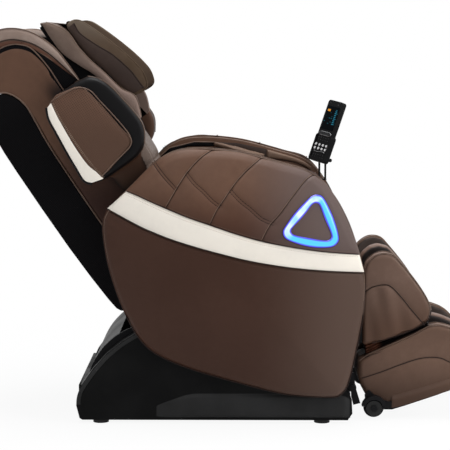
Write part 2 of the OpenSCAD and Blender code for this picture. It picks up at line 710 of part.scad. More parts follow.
module arm_pad(side) {
    nx = 10;
    nz = 5;
    function place(i, j, out) = let (a = 2 * i / nx - 1, b = 2 * j / nz - 1,
        swell = pow(clamp((1 - pow(abs(a), 4)) * (1 - b * b), 0, 1), 0.5))
        [36 + 80 * a - 3 * a * (1 - b * b), core_y - seat_clear - (out ? 3 + 15 * swell : 0),
            731 - 22 * a + b * (11 - 6 * pow(max(0, -a), 2))];
    color(leather_light) on_side(side)
        slab([for (i = [nx : -1 : 0]) [for (j = [0 : nz]) place(i, j, true)]],
            [for (i = [nx : -1 : 0]) [for (j = [0 : nz]) place(i, j, false)]]);
}

// ---------------------------------------------------------------- back

module back_frame() {
    guide_x = 112;
    color(steel_black) in_back() {
        difference() {
            union() {
                on_side(1) back_rail();
                on_side(-1) back_rail();
                block(20, 24, -post_y + post_w - 2, post_y - post_w + 2, 66, 740);
                for (z = [90, 716]) block(24, guide_x + 16, -guide_gap / 2 - 14,
                    guide_gap / 2 + 14, z, z + 24);
                bar(0, 0, 40, -back_half + 8, back_half - 8);
                for (y = [-lug_gap - lug_t, lug_gap]) back_crank_plate(y);
                for (y = [-1, 1]) translate([guide_x, y * guide_gap / 2, 100])
                    cylinder(d = guide_d, h = 630);
            }
            bar(0, 0, axle_d + 2 * run_gap, -back_half, back_half);
        }
    }
}

module back_rail() {
    upright(post_y - plate_t, post_y) union() {
        circle(r = 30);
        polygon([[-28, 10], [28, 10], [46, 120], [10, 120]]);
    }
    block(10, 46, post_y - post_w, post_y, 90, 744);
}

// Crank below the axle; the slot stands straight down at half recline
module back_crank_plate(y) {
    down = -back_lean - crank_mid();
    upright(y, y + lug_t) difference() {
        rotate(down) union() {
            translate([0, -back_crank - 2]) circle(r = 17);
            polygon([[-17, -back_crank], [17, -back_crank], [19, 0], [-19, 0]]);
        }
        lug_slot(back_crank, crank_half, down);
    }
}

function crank_mid() = recline_down - crank_half;

module back_cover() {
    color(cloth_black) in_back() difference() {
        upright(-back_half, back_half) polygon(ring(COVER, 2));
        upright(-back_half + shell_t, back_half - shell_t) polygon([[80, 30], [-20, 40], [-35, 78],
            [-45, 116], [-51, 300], [-47, 560], [-41, 657], [-29, 728], [-14, 756], [80, 745]]);
    }
}

module back_side(side) {
    out = back_half;
    rings = [[0, 0.985], [2, 1], [40, 1], [56, 0.99], [bolster_w, 0.955]];
    middle = mean(SIDE);
    color(leather) in_back() on_side(side)
        loft([for (r = rings) [for (p = SIDE)
            at_y(p[0] < 80 ? p : mix(middle, p, r[1]), out - bolster_w + r[0])]]);
}

module head_hood() {
    half = back_half - 3;
    inner = concat([[226, 645], [226, 738]], [for (p = SIDE_TOP) p + (p - HOOD_C) * 0.6 / norm(p - HOOD_C)],
        [[-10, 812]]);
    color(leather_light) in_back() upright(-half, half) polygon(concat(HOOD_OUT, turned(inner)));
}

module back_pad() {
    nu = 22;
    ny = 10;
    half = pad_w / 2;
    function groove(u) = max([for (s = PAD_SEAMS) dip(u - s, 13)]);
    function place(i, j, out) = let (u = mix(110, 861, i / nu), b = sin(90 * (2 * j / ny - 1)),
        edge = pow(clamp(1 - pow(abs(b), 6), 0, 1), 0.5), rear = lookup(u, PAD_REAR),
        full = lookup(u, PAD_FRONT), n = mix(rear + 0.45 * (full - rear), full, edge)
            - pad_groove * groove(u) * edge - 5 * dip(abs(b) - 0.72, 0.07))
        [out ? n : rear, (half - 4 * groove(u)) * b, u];
    color(leather_light) in_back()
        between([for (i = [0 : nu]) [for (j = [0 : ny]) place(i, j, true)]],
            [for (i = [0 : nu]) [for (j = [0 : ny]) place(i, j, false)]]);
}

module shoulder_wing(side) {
    outer = ring(WING, 2);
    rings = [[bolster_in() + 5, 0, 0.98], [bolster_in() + 9, 0, 1], [back_half + 0.5, 0, 1],
        [core_y - 3, 1, 0.96], [core_y + 8, 1, 1], [wing_w / 2 - 34, 1, 1],
        [wing_w / 2 - 16, 1, 0.95]];
    color(cloth_black) in_back() on_side(side)
        loft([for (r = rings) [for (p = shrink(r[1] == 0 ? root_ring(outer) : outer, r[2]))
            at_y(p, r[0])]]);
}

function bolster_in() = back_half - bolster_w;

// The strip between bolster and pad that a wing grows from
function root_ring(pts) = [for (p = pts) [clamp(p[0] + (p[0] > 200 ? 400 : -400), 188.6, 232.4),
    mix(284, 618, clamp((p[1] - 404) / 256, 0, 1))]];

module shoulder_face(side) {
    out = wing_w / 2;
    color(leather) in_back() on_side(side)
        loft([for (r = [[-15.7, 0.9], [-12, 0.97], [-4, 1], [0, 0.96], [3, 0.7]])
            [for (p = shrink(ring(WING_FACE, 2), r[1])) at_y(p, out + r[0])]]);
}

module head_pillow() {
    half = pillow_w / 2;
    color(leather_light) in_back() difference() {
        loft([for (r = [[-half, 0.9], [-half + 4, 0.97], [-half + 26, 0.99], [-half / 2, 1.01],
            [half / 2, 1.01], [half - 26, 0.99], [half - 4, 0.97], [half, 0.9]])
            [for (p = shrink(ring(PILLOW, 2), r[1])) at_y(p, r[0])]]);
    }
}

carriage_u = 470;

module massage_carriage() {
    guide_x = 112;
    color(plastic_dark) in_back() difference() {
        union() {
            block(guide_x - 20, guide_x + 24, -guide_gap / 2 - 18, guide_gap / 2 + 18,
                carriage_u - 45, carriage_u + 45);
            block(30, guide_x - 19, -60, 60, carriage_u - 38, carriage_u + 38);
            for (y = [-44, 36]) block(guide_x + 20, guide_x + 66, y, y + 8, carriage_u - 16,
                carriage_u + 16);
        }
        for (y = [-1, 1]) translate([guide_x, y * guide_gap / 2, carriage_u - 60])
            cylinder(d = guide_d + 2 * run_gap, h = 120);
        bar(guide_x + 53, carriage_u, 12 + 2 * run_gap, -60, 60);
    }
}

module massage_arms() {
    shaft_x = 165;
    color([0.75, 0.2, 0.12]) in_back() {
        bar(shaft_x, carriage_u, 12, -104, 104);
        for (y = [-96, -64, 56, 88]) {
            upright(y, y + 8) difference() {
                union() {
                    translate([shaft_x, carriage_u]) circle(r = 14);
                    polygon([[shaft_x - 12, carriage_u - 6], [shaft_x + 12, carriage_u - 12],
                        [shaft_x + 34, carriage_u - 46], [shaft_x + 18, carriage_u - 54]]);
                    polygon([[shaft_x - 12, carriage_u + 6], [shaft_x + 18, carriage_u + 54],
                        [shaft_x + 34, carriage_u + 46], [shaft_x + 12, carriage_u + 12]]);
                }
                translate([shaft_x, carriage_u]) circle(d = 11.9);
            }
            for (s = [-1, 1]) bar(shaft_x + 25, carriage_u + s * 46, 42, y - 4, y + 12);
        }
    }
}

// ---------------------------------------------------------------- leg rest

// Trough for one leg: skin over the slide, well floor, then outer wall; y grows outward
module trough(skin, floor_pts, wall) {
    out = leg_half;
    rings = [[pad_in, skin, 0.96], [pad_in + 2, skin, 1], [pad_in + 32, skin, 1],
        [pad_in + 42, floor_pts, 1], [out - 70, floor_pts, 1], [out - 50, wall, 0.985],
        [out - 40, wall, 1], [out - 12, wall, 1], [out - 2, wall, 0.975], [out, wall, 0.93]];
    loft([for (r = rings) [for (p = shrink(r[1], r[2])) at_y(p, r[0])]]);
}

module divider(wall) {
    half = divider_w / 2;
    loft([for (r = [[-half, 0.93], [-half + 4, 0.985], [0, 1], [half - 4, 0.985], [half, 0.93]])
        [for (p = shrink(wall, r[1])) at_y(p, r[0])]]);
}

module calf_pad(side) {
    color(leather) on_side(side) trough(CALF_SKIN, CALF_FLOOR, CALF_WALL);
}

module calf_divider() {
    color(leather) divider(CALF_WALL);
}

module foot_pad(side) {
    color(leather) on_side(side) trough(FOOT_SKIN, FOOT_FLOOR, FOOT_WALL);
}

module foot_divider() {
    color(leather) divider(FOOT_WALL);
}

// Crank of the calf rest; its slot stands straight down at half lift
module leg_crank_plate(y) {
    upright(y, y + lug_t) translate([lift_x, lift_z]) difference() {
        rotate(-lift_range / 2) union() {
            translate([0, -leg_crank - 4]) circle(r = 17);
            polygon([[-14, -leg_crank], [14, -leg_crank], [11, 0], [-11, 0]]);
        }
        lug_slot(leg_crank, lift_range / 2, -lift_range / 2);
    }
}

module calf_frame() {
    plate_x = 384.7;
    sleeve = slide_d + 6;
    color(steel_black) difference() {
        union() {
            bar(lift_x, lift_z, 30, -cheek_in + 4, cheek_in - 4);
            bar(lift_x, lift_z, axle_d, -core_y + 1, core_y - 1);
            block(plate_x - 6, plate_x, -leg_half + 6, leg_half - 6, 216, lift_z);
            for (y = [leg_rod_y - lug_gap - lug_t, leg_rod_y + lug_gap]) leg_crank_plate(y);
            for (s = [-1, 1]) translate([0, s * sleeve_y, 0]) in_slide()
                translate([0, 0, -90]) cylinder(d = sleeve, h = 208);
        }
        for (s = [-1, 1]) translate([0, s * sleeve_y, 0]) in_slide()
            translate([0, 0, -100]) cylinder(d = slide_d + 2 * run_gap, h = 230);
    }
}

wheel_x = 418;
wheel_z = 35;

module foot_side_plate() {
    near = leg_half + 1.5;
    upright(near, near + 4) polygon([[392, 70], [396, 40], [440, 28], [470, 28], [506, 39], [600, 71],
        [596, 90], [500, 60], [462, 50], [430, 60], [404, 84]]);
    bar(wheel_x, wheel_z, 10, near, leg_half + 29);
    bar(wheel_x, wheel_z, 18, leg_half + 27, leg_half + 30);
    upright(near, leg_half + 27) difference() {
        translate([wheel_x, wheel_z]) circle(r = wheel_d / 2 + 13);
        translate([wheel_x, wheel_z]) circle(r = wheel_d / 2 + 3);
        translate([wheel_x - 60, wheel_z - 70]) square([120, 76]);
    }
    upright(near, near + 3) translate([wheel_x, wheel_z]) circle(r = wheel_d / 2 + 7);
}

module foot_frame() {
    color(steel_black) {
        on_side(1) foot_side_plate();
        on_side(-1) foot_side_plate();
        upright(-leg_half - 5, leg_half + 5) polygon([[506, 39], [600, 71], [640, 87], [638, 93.6],
            [630, 88.6], [599, 77.6], [565, 65.6], [505, 45.3]]);
        for (s = [-1, 1]) translate([0, s * sleeve_y, 0]) in_slide()
            translate([0, 0, -85]) cylinder(d = slide_d, h = 288 + extend_range);
    }
}

module foot_wheel(side) {
    color(cloth_black) on_side(side) difference() {
        union() {
            bar(wheel_x, wheel_z, wheel_d, leg_half + 8, leg_half + 8 + wheel_w);
            bar(wheel_x, wheel_z, 20, leg_half + 6, leg_half + 26);
        }
        bar(wheel_x, wheel_z, 10 + 2 * run_gap, leg_half, leg_half + 40);
    }
}

// ---------------------------------------------------------------- actuators

// Tube with its gearbox; +X is the way the rod comes out of the tube, from x = 0
module actuator_body(tube_l, box_l, box_top) {
    difference() {
        union() {
            translate([-tube_l, 0, 0]) rotate([0, 90, 0]) cylinder(d = tube_d, h = tube_l);
            block(-tube_l - box_l, -tube_l + 1, -25, 25, -24, box_top);
        }
        translate([-tube_l - 0.5, 0, 0]) rotate([0, 90, 0])
            cylinder(d = rod_d + 2 * run_gap, h = tube_l + 1);
    }
}

// Rod with its eye and pin at x = 0, running back into the tube
module actuator_rod(l) {
    eye_l = 24;
    rotate([0, 90, 0]) translate([0, 0, -l]) cylinder(d = rod_d, h = l - eye_l + 1);
    translate([-eye_l, 0.5 - lug_gap, -8]) cube([eye_l + 10, 2 * lug_gap - 1, 16]);
    rotate([90, 0, 0]) translate([0, 0, -lug_gap - lug_t - 2])
        cylinder(d = pin_d, h = 2 * (lug_gap + lug_t + 2));
}

// Where each rod pin lies at rest
back_pin_x = recline_x - back_crank * tan(crank_mid());
back_pin_z = recline_z - back_crank;
leg_pin_x = lift_x - leg_crank * tan(lift_range / 2);
leg_pin_z = lift_z - leg_crank;

module at_back_rod() {
    translate([back_pin_x, 0, back_pin_z]) rotate([0, 0, 180]) children();
}

module at_leg_rod() {
    translate([leg_pin_x, leg_rod_y, leg_pin_z]) children();
}

module at_tilt_rod() {
    translate([tilt_x, tilt_rod_y, tilt_z]) rotate([0, -tilt_dir, 0])
        translate([tilt_crank, 0, -tilt_crank * tan(tilt_range / 2)]) rotate([0, -90, 0])
        children();
}

module back_actuator() {
    color(steel) at_back_rod() translate([-76, 0, 0]) actuator_body(190, 50, 24);
}

module back_rod() {
    color(steel) at_back_rod() actuator_rod(200);
}

module leg_actuator() {
    color(steel) at_leg_rod() translate([-28, 0, 0])
        actuator_body(170, 50, pan_z - leg_pin_z);
}

module leg_rod() {
    color(steel) at_leg_rod() actuator_rod(180);
}

module tilt_actuator() {
    color(steel) at_tilt_rod() translate([-26, 0, 0]) actuator_body(110, 22, 24);
}

module tilt_rod() {
    color(steel) at_tilt_rod() actuator_rod(128);
}

// ---------------------------------------------------------------- remote

// Frame of the cradle's lug, with its tilt pin along x at the origin
module at_pin() {
    translate([tilt_pin_x, tilt_pin_y, tilt_pin_z]) rotate([-remote_lean, 0, -remote_yaw]) children();
}

// Frame of the handset, with its foot at the origin
module at_remote() {
    at_pin() translate([0, -pin_back, -pin_rise]) rotate([0, remote_roll, 0]) children();
}

module remote_stalk() {
    leg = 5;
    knob_x = remote_w / 2 - 4;
    color(plastic_dark) {
        translate([stalk_x, stalk_y, 606]) cylinder(d = stalk_d, h = stalk_foot - 605);
        translate([tilt_pin_x, tilt_pin_y, 0]) rotate([0, 0, -remote_yaw]) {
            block(-leg_gap / 2 - leg, leg_gap / 2 + leg, -3, 3, stalk_foot, stalk_foot + 4);
            for (x = [-leg_gap / 2 - leg, leg_gap / 2]) {
                block(x, x + leg, -2, 2, stalk_foot, tilt_pin_z);
                translate([x, 0, tilt_pin_z]) rotate([0, 90, 0]) cylinder(d = eye_d, h = leg);
            }
            translate([-leg_gap / 2 - 2, 0, tilt_pin_z]) rotate([0, 90, 0])
                cylinder(d = tilt_pin_d, h = leg_gap / 2 + knob_x + 4);
            translate([knob_x, 0, tilt_pin_z]) rotate([0, 90, 0]) cylinder(d = eye_d + 1, h = 8);
        }
    }
}

module rounded_bar(w, t, l, r) {
    translate([0, t / 2, 0]) rotate([90, 0, 0]) linear_extrude(t) {
        translate([-w / 2 + r, 0]) square([w - 2 * r, l]);
        translate([-w / 2, r]) square([w, l - 2 * r]);
        for (x = [r - w / 2, w / 2 - r], z = [r, l - r]) translate([x, z]) circle(r = r);
    }
}

module remote_cradle() {
    slack = 2 * seat_clear;
    out = 2 * cradle_wall;
    lug = leg_gap / 2 - seat_clear;
    color(plastic_dark) difference() {
        union() {
            at_remote() difference() {
                translate([0, 0, -cradle_wall])
                    rounded_bar(remote_w + slack + out, remote_t + slack + out, 84, 8);
                translate([0, 0, fine])
                    rounded_bar(remote_w + slack, remote_t + slack, 100, 8);
                translate([3 - remote_w / 2, -remote_t, 10]) cube([remote_w - 6, remote_t, 100]);
            }
            at_pin() {
                translate([-lug, 0, 0]) rotate([0, 90, 0]) cylinder(d = eye_d, h = 2 * lug);
                translate([-lug, -7.5, -4]) cube([2 * lug, 7.5, 9]);
            }
        }
        at_pin() translate([-lug - 1, 0, 0]) rotate([0, 90, 0])
            cylinder(d = tilt_pin_d + 2 * run_gap, h = 2 * lug + 2);
    }
}

function key_at(k) = [key_step[0] * (k % 4 - 1.5), key_z + key_step[1] * floor(k / 4)];

module remote_body() {
    front = -remote_t / 2 - 1;
    color(plastic_dark) at_remote() difference() {
        translate([0, 0, seat_clear]) rounded_bar(remote_w, remote_t, remote_l, 8);
        translate([5 - remote_w / 2, front, screen_low])
            cube([remote_w - 10, 3, screen_high - screen_low]);
        for (k = [0 : 7]) translate([key_at(k)[0], front, key_at(k)[1]]) rotate([-90, 0, 0])
            cylinder(d = key_d + 0.6, h = 4);
        translate([-27, front, pill_z]) cube([54, 5, pill_h]);
        translate([-29, front + 3, key_z - 6]) cube([58, 3, key_step[1] + 12]);
    }
}

module remote_screen() {
    color([0.1, 0.5, 0.6]) at_remote() translate([5.2 - remote_w / 2, -remote_t / 2 - 0.2,
        screen_low + 0.2]) cube([remote_w - 10.4, 2, screen_high - screen_low - 0.4]);
}

module remote_keys() {
    color([0.9, 0.9, 0.9]) at_remote() {
        for (k = [0 : 7]) translate([key_at(k)[0], -remote_t / 2 - 1.2, key_at(k)[1]])
            rotate([-90, 0, 0]) cylinder(d = key_d, h = 4.2);
        translate([-28.5, -remote_t / 2 + 2.9, key_z - 5.5]) cube([57, 1, key_step[1] + 11]);
    }
}

module remote_bar() {
    color([0.75, 0.76, 0.78]) at_remote() translate([0, -remote_t / 2 + 0.5, pill_z + 0.4])
        rounded_bar(53, 3, pill_h - 0.8, 5);
}

// ---------------------------------------------------------------- nodes

base_frame();
base_cover(-1);  // base_cover_right
base_cover(1);  // base_cover_left
rubber_feet();
control_box();
air_pump();
power_inlet();
power_switch();
tilt_axle();
rear_bonnet();
seat_frame();
recline_axle();
seat_cushion();
arm_core(-1);  // arm_core_right
arm_core(1);  // arm_core_left
side_panel(-1);  // side_panel_right
side_panel(1);  // side_panel_left
arm_stripe(-1);  // arm_stripe_right
arm_stripe(1);  // arm_stripe_left
arm_quilt(-1);  // arm_quilt_right
arm_quilt(1);  // arm_quilt_left
light_ring(-1);  // light_ring_right
light_ring(1);  // light_ring_left
arm_pad(-1);  // arm_pad_right
arm_pad(1);  // arm_pad_left
back_frame();
back_cover();
back_side(-1);  // back_side_right
back_side(1);  // back_side_left
head_hood();
back_pad();
shoulder_wing(-1);  // shoulder_wing_right
shoulder_wing(1);  // shoulder_wing_left
shoulder_face(-1);  // shoulder_face_right
shoulder_face(1);  // shoulder_face_left
head_pillow();
massage_carriage();
massage_arms();
calf_frame();
calf_pad(-1);  // calf_pad_right
calf_pad(1);  // calf_pad_left
calf_divider();
foot_frame();
foot_pad(-1);  // foot_pad_right
foot_pad(1);  // foot_pad_left
foot_divider();
foot_wheel(-1);  // foot_wheel_right
foot_wheel(1);  // foot_wheel_left
back_actuator();
back_rod();
leg_actuator();
leg_rod();
tilt_actuator();
tilt_rod();
remote_stalk();
remote_cradle();
remote_body();
remote_screen();
remote_keys();
remote_bar();
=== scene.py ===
"""Massage chair: sewn leather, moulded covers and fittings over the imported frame"""
import json
import math

import bpy
import numpy as np
from bpy.props import FloatProperty, FloatVectorProperty, IntProperty, PointerProperty
from bpy.types import Operator, Panel, PropertyGroup
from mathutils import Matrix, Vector


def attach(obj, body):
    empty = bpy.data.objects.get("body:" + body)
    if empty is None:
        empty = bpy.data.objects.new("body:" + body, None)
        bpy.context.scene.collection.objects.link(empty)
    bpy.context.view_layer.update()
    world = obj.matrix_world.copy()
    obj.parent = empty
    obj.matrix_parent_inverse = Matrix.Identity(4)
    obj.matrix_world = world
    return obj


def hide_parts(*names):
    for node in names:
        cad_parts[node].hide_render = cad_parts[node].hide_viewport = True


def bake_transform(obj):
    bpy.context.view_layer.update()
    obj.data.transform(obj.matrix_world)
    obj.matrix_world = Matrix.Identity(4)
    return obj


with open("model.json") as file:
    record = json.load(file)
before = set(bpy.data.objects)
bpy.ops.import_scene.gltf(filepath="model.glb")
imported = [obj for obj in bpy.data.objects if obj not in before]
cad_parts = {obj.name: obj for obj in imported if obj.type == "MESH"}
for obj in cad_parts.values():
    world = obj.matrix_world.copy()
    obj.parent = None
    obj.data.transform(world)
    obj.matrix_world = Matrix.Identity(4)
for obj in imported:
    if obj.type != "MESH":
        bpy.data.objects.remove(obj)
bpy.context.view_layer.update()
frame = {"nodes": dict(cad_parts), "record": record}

bl_info = {
    "name": "Massage Chair",
    "version": (1, 0, 0),
    "blender": (4, 5, 0),
    "location": "View3D > Sidebar > Chair",
    "description": "Dresses the frame of a reclining massage chair",
    "category": "Object",
}

MM = 0.001
SIDES = (("right", -1), ("left", 1))

# ------------------------------------------------------------------ outlines, (x, z) in mm

ARM = [(-338, 548), (-318, 430), (-262, 285), (-200, 208), (-60, 149), (150, 93), (300, 82),
       (335, 108), (356, 185), (381, 320), (384, 430), (352, 536), (300, 643), (245, 703), (150, 735),
       (30, 765), (-100, 773), (-178, 749), (-256, 677), (-322, 606)]
ARM_MIDDLE = (27, 430)

# Planes, in mm out from the chair's middle
ARM_EDGE = 335.0        # outer edge of the arm's side
ARM_PLANE = 330.2       # behind the pieces on the arm's side
ARM_INNER = 243.6       # the arm's inner face
INNER_PLANE = 243.9     # behind the pieces on the inner face
WING_FACE = 330.2       # side of the shoulder face
PILLOW_END = 190.0
CUSHION_OUT, CUSHION_IN = 226.0, 188.0     # both sides of a calf or foot cushion

QUILT_TOP = [(-271, 658), (-225, 706), (-178, 749), (-100, 773), (-29, 770), (36, 763), (102, 748),
             (174, 728), (246, 705), (300, 643), (338, 573), (367, 492)]
QUILT_LOW = [(-271, 656), (-243, 646), (-215, 634), (-188, 623), (-161, 612), (-102, 589), (-42, 569),
             (29, 545), (100, 525), (188, 507), (276, 493), (367, 483)]
STRIPE_LOW = [(-326, 607), (-300, 594), (-272, 580), (-243, 566), (-214, 553), (-150, 529),
              (-85, 509), (-10, 489), (70, 470), (170, 453), (275, 441), (381, 432)]
PANEL_LOW = [(384, 400), (381, 320), (369, 250), (356, 185), (346, 140), (335, 108), (320, 90),
             (300, 82), (225, 84), (150, 93), (45, 120), (-60, 149), (-140, 177), (-200, 208),
             (-240, 248), (-270, 300), (-296, 362), (-318, 430), (-331, 490), (-338, 548), (-336, 580)]
QUILT_SEAMS = ([(-29, 772), (-66, 749), (-101, 712), (-123, 680), (-138, 655), (-163, 612)],
               [(102, 750), (59, 715), (27, 680), (-4, 636), (-23, 608), (-42, 569)],
               [(248, 706), (218, 686), (183, 644), (145, 595), (121, 568), (98, 525)])
QUILT_CROSS = ([(-198, 738), (-170, 702), (-142, 672), (-134, 664)],
               [(-106, 707), (-84, 680), (-60, 659), (-34, 633), (-13, 618)],
               [(14, 661), (40, 634), (68, 612), (98, 586), (131, 572)])
RING = [(234, 634), (215, 614), (195, 592), (176, 569), (167, 555), (170, 542), (185, 533), (221, 523),
        (257, 517), (285, 517), (298, 528), (297, 544), (289, 568), (277, 598), (262, 630), (249, 638)]
ROOF_SLOPE = 0.275      # fall of the forearm channel's roof towards the front
CHANNEL_ROOF = [(-185, 710), (-120, 740), (-10, 740), (60, 713), (115, 700)]
CAP_TOP = [(121, 734), (150, 726), (185, 716), (215, 706), (240, 694), (258, 680)]
CAP_LOW = [(121, 706), (150, 704), (180, 700), (212, 693), (240, 680), (258, 667)]
PAD_TOP = [(-30, 748), (-10, 752), (20, 745), (58, 732), (90, 722), (114, 714)]
FOOT_FLAP_LOW = [(469, 33), (506, 41), (600, 72), (640, 87), (676, 112)]
FOOT_FLAP_TOP = [(469, 66), (506, 76), (600, 105), (640, 120), (676, 135)]
FOOT_EDGE = [(392, 176), (451, 197), (520, 226), (573, 252), (600, 256), (630, 250), (658, 238),
             (684, 216), (698, 184)]
BASE_RIM = [(-417, 60), (-415, 80), (-404, 108), (-370, 156), (-330, 200), (-287, 234), (-252, 255)]
WING_STRIP_IN = [(-476, 896), (-455, 852), (-434, 818), (-408, 778), (-382, 742), (-355, 710),
                 (-335, 690)]
WING_STRIP_OUT = [(-486, 884), (-480, 853), (-459, 813), (-432, 763), (-406, 718), (-386, 686),
                  (-366, 679)]
WING_RIM = [(-480, 903), (-452, 922), (-420, 939), (-399, 944), (-380, 941), (-363, 931),
            (-340, 905), (-309, 872), (-279, 838), (-260, 813), (-252, 792), (-256, 777),
            (-269, 762), (-304, 727), (-336, 693), (-355, 681), (-374, 676), (-387, 684),
            (-408, 718), (-434, 763), (-461, 813), (-482, 855), (-487, 876)]
CALF_SEAM = [(388, 360), (402, 370), (415, 377), (444, 383), (465, 377), (494, 347), (523, 311),
             (560, 268)]
FOOT_SEAM = [(385, 116), (394, 119), (436, 133), (490, 154), (544, 172), (579, 176), (607, 174),
             (640, 160), (690, 150)]
CALF_RIM = [(386, 420), (396, 448), (420, 468), (444, 474), (471, 467), (494, 443), (527, 403),
            (555, 364), (573, 331), (579, 307), (570, 281), (552, 267), (509, 246), (455, 227),
            (412, 214)]
FOOT_RIM = [(374, 166), (401, 184), (451, 207), (520, 238), (573, 266), (600, 270), (630, 263),
            (661, 250), (688, 226), (708, 182), (702, 152), (676, 118), (630, 89)]

# Back outlines, (n, u) in mm: n forward of the recline axle, u up the back
BACK_AXLE = (-223.0, 275.0)
BACK_LEAN = math.radians(35)
BACK_COS, BACK_SIN = math.cos(BACK_LEAN), math.sin(BACK_LEAN)
BACK_OUT = np.array((BACK_COS, 0, BACK_SIN))
PAD_ROLL_IN = [(243, 846), (241, 800), (244, 750), (264, 695), (282, 651), (296, 580), (304, 520),
               (310, 478)]
PAD_ROLL_OUT = [(256, 848), (288, 796), (290, 740), (296, 694), (308, 645), (321, 580), (341, 538),
                (322, 482)]
HOOD_GAP_IN = [(190, 668), (191, 722), (190, 764), (183, 806), (166, 838)]
HOOD_GAP_OUT = [(236, 668), (218, 720), (204, 763), (188, 800), (168, 842)]
DOME = [(187, 560), (188, 680), (190, 745), (182, 810), (160, 840), (138, 854), (109, 861), (70, 858),
        (30, 838), (0, 808), (-18, 780)]
DOME_INNER = [(140, 560), (150, 672), (184, 740), (173, 798), (151, 826), (132, 838), (104, 846),
              (70, 843), (36, 824), (10, 798), (-8, 773)]
REAR_SEAM = [(59, 200), (60, 380), (66, 560), (74, 640), (78, 690), (68, 730), (48, 757), (12, 773),
             (-18, 780)]
HOOD_RIM = [(239, 655), (240, 700), (237, 768), (222, 820), (200, 859), (170, 888), (136, 905),
            (90, 912), (40, 902), (0, 876)]
HOOD_FRONT = [(232, 640), (239, 655), (240, 700), (237, 768), (222, 820)]
WING_SEAM = [(292, 418), (314, 450), (320, 482), (314, 548), (302, 615), (272, 657)]
HOOD_LEAF = [(238, 665), (226, 720), (214, 768), (196, 812), (174, 842), (146, 866), (110, 878),
             (70, 876), (30, 866), (0, 850)]
HOOD_SLIP = [(236, 668), (216, 722), (203, 764), (184, 804), (160, 830), (134, 852), (104, 862),
             (68, 861), (30, 848), (4, 832)]
PILLOW_EDGE = [(323, 557), (345, 540), (379, 539), (392, 560), (396, 590), (388, 640), (372, 700),
               (352, 760), (335, 800), (320, 813)]
PILLOW = PILLOW_EDGE + [(300, 813), (291.4, 800), (290.4, 770), (293, 711), (303, 670), (313, 628)]
PILLOW_CREASE = [(316, 803), (314, 768), (335, 712), (354, 669), (369, 607), (371, 569), (372, 544)]
PILLOW_BACK = [(296, 803), (292, 768), (296, 712), (306, 669), (318, 607), (328, 569), (340, 548)]


# ------------------------------------------------------------------ form maths

def closed_curve(points, per):
    """Smooth closed curve through the points, as an array"""
    p = np.array(points, float)
    t = (np.arange(per) / per)[None, :, None]
    a, b, c, d = (np.roll(p, k, axis=0)[:, None, :] for k in (1, 0, -1, -2))
    q = 0.5 * (2 * b + (c - a) * t + (2 * a - 5 * b + 4 * c - d) * t ** 2
               + (3 * b - a - 3 * c + d) * t ** 3)
    return q.reshape(-1, p.shape[1])


def along(points, t):
    """Points at stations t of the smooth open curve through the points"""
    p = np.array(points, float)
    t = np.clip(np.asarray(t, float), 0, len(p) - 1)
    i = np.clip(np.floor(t).astype(int), 0, len(p) - 2)
    f = (t - i)[:, None]
    a, b, c, d = p[np.maximum(i - 1, 0)], p[i], p[i + 1], p[np.minimum(i + 2, len(p) - 1)]
    return 0.5 * (2 * b + (c - a) * f + (2 * a - 5 * b + 4 * c - d) * f ** 2
                  + (3 * b - a - 3 * c + d) * f ** 3)


def walk(points, step, curved=True):
    """The open curve through the points, or their polyline, at even steps"""
    p = np.array(points, float)
    if curved:
        p = along(points, np.linspace(0, len(points) - 1, 24 * len(points)))
    run = np.concatenate([[0], np.cumsum(np.linalg.norm(np.diff(p, axis=0), axis=1))])
    count = max(2, int(round(run[-1] / step)) + 1)
    s = np.linspace(0, run[-1], count)
    return np.stack([np.interp(s, run, p[:, k]) for k in range(p.shape[1])], 1)


def near(x, z, line):
    """Distance of each (x, z) from a polyline"""
    a = np.asarray(line)[:-1]
    ab = np.diff(np.asarray(line), axis=0)
    best = np.full(len(x), 1e9)
    for (ax, az), (dx, dz) in zip(a, ab):
        t = np.clip(((x - ax) * dx + (z - az) * dz) / max(dx * dx + dz * dz, 1e-9), 0, 1)
        best = np.minimum(best, np.hypot(x - ax - t * dx, z - az - t * dz))
    return best


def beside(line):
    """Unit vectors square to a flat line"""
    side = np.gradient(line, axis=0)
    return np.stack([-side[:, 1], side[:, 0]], 1) / np.linalg.norm(side, axis=1, keepdims=True)


def shrunk(line, k):
    """The line drawn in towards its middle"""
    middle = line.mean(axis=0)
    return middle + (line - middle) * k


def across(low, high, u, v):
    """Points between two lines of equally many points: u runs along them, v from low to high"""
    t = u * (len(low) - 1)
    a, b = along(low, t), along(high, t)
    return a + (b - a) * v[:, None]


def smooth(low, high, v):
    """Even step from 0 at low to 1 at high"""
    t = np.clip((v - low) / (high - low), 0, 1)
    return t * t * (3 - 2 * t)


def dip(v, width):
    """Bell shape: 1 at 0, gone beyond twice the width"""
    return np.exp(-(v / width) ** 2)


def swell(v, power):
    """Puffed section of a band: 0 at both edges, 1 in the middle, flatter with a higher power"""
    return np.clip(1 - np.abs(2 * v - 1) ** power, 0, 1)


def polar(x, z):
    """Angle and distance of a place as seen from the middle of the arm's side"""
    dx, dz = x - ARM_MIDDLE[0], z - ARM_MIDDLE[1]
    return np.arctan2(dz, dx), np.hypot(dx, dz)


ARM_REACH = polar(*closed_curve(ARM, 6).T)


def arm_share(x, z):
    """0 at the middle of the arm's side and 1 on its outline"""
    angle, reach = polar(x, z)
    return reach / np.interp(angle, *ARM_REACH, period=2 * math.pi)


def arm_side(x, z):
    """How far out the arm's side stands, with a rolled edge"""
    form = bpy.context.scene.chair_form
    r = np.clip(arm_share(x, z), 0, 1)
    return ARM_EDGE + form.arm_bulge * (1 - r ** 2.6) - 5 * smooth(0.965, 1.0, r) ** 2


SEAM_LINES = [walk(seam, 6) for seam in QUILT_SEAMS]
CROSS_LINES = [walk(tuck, 6) for tuck in QUILT_CROSS]
STRIPE_TOP = walk(QUILT_LOW, 8)


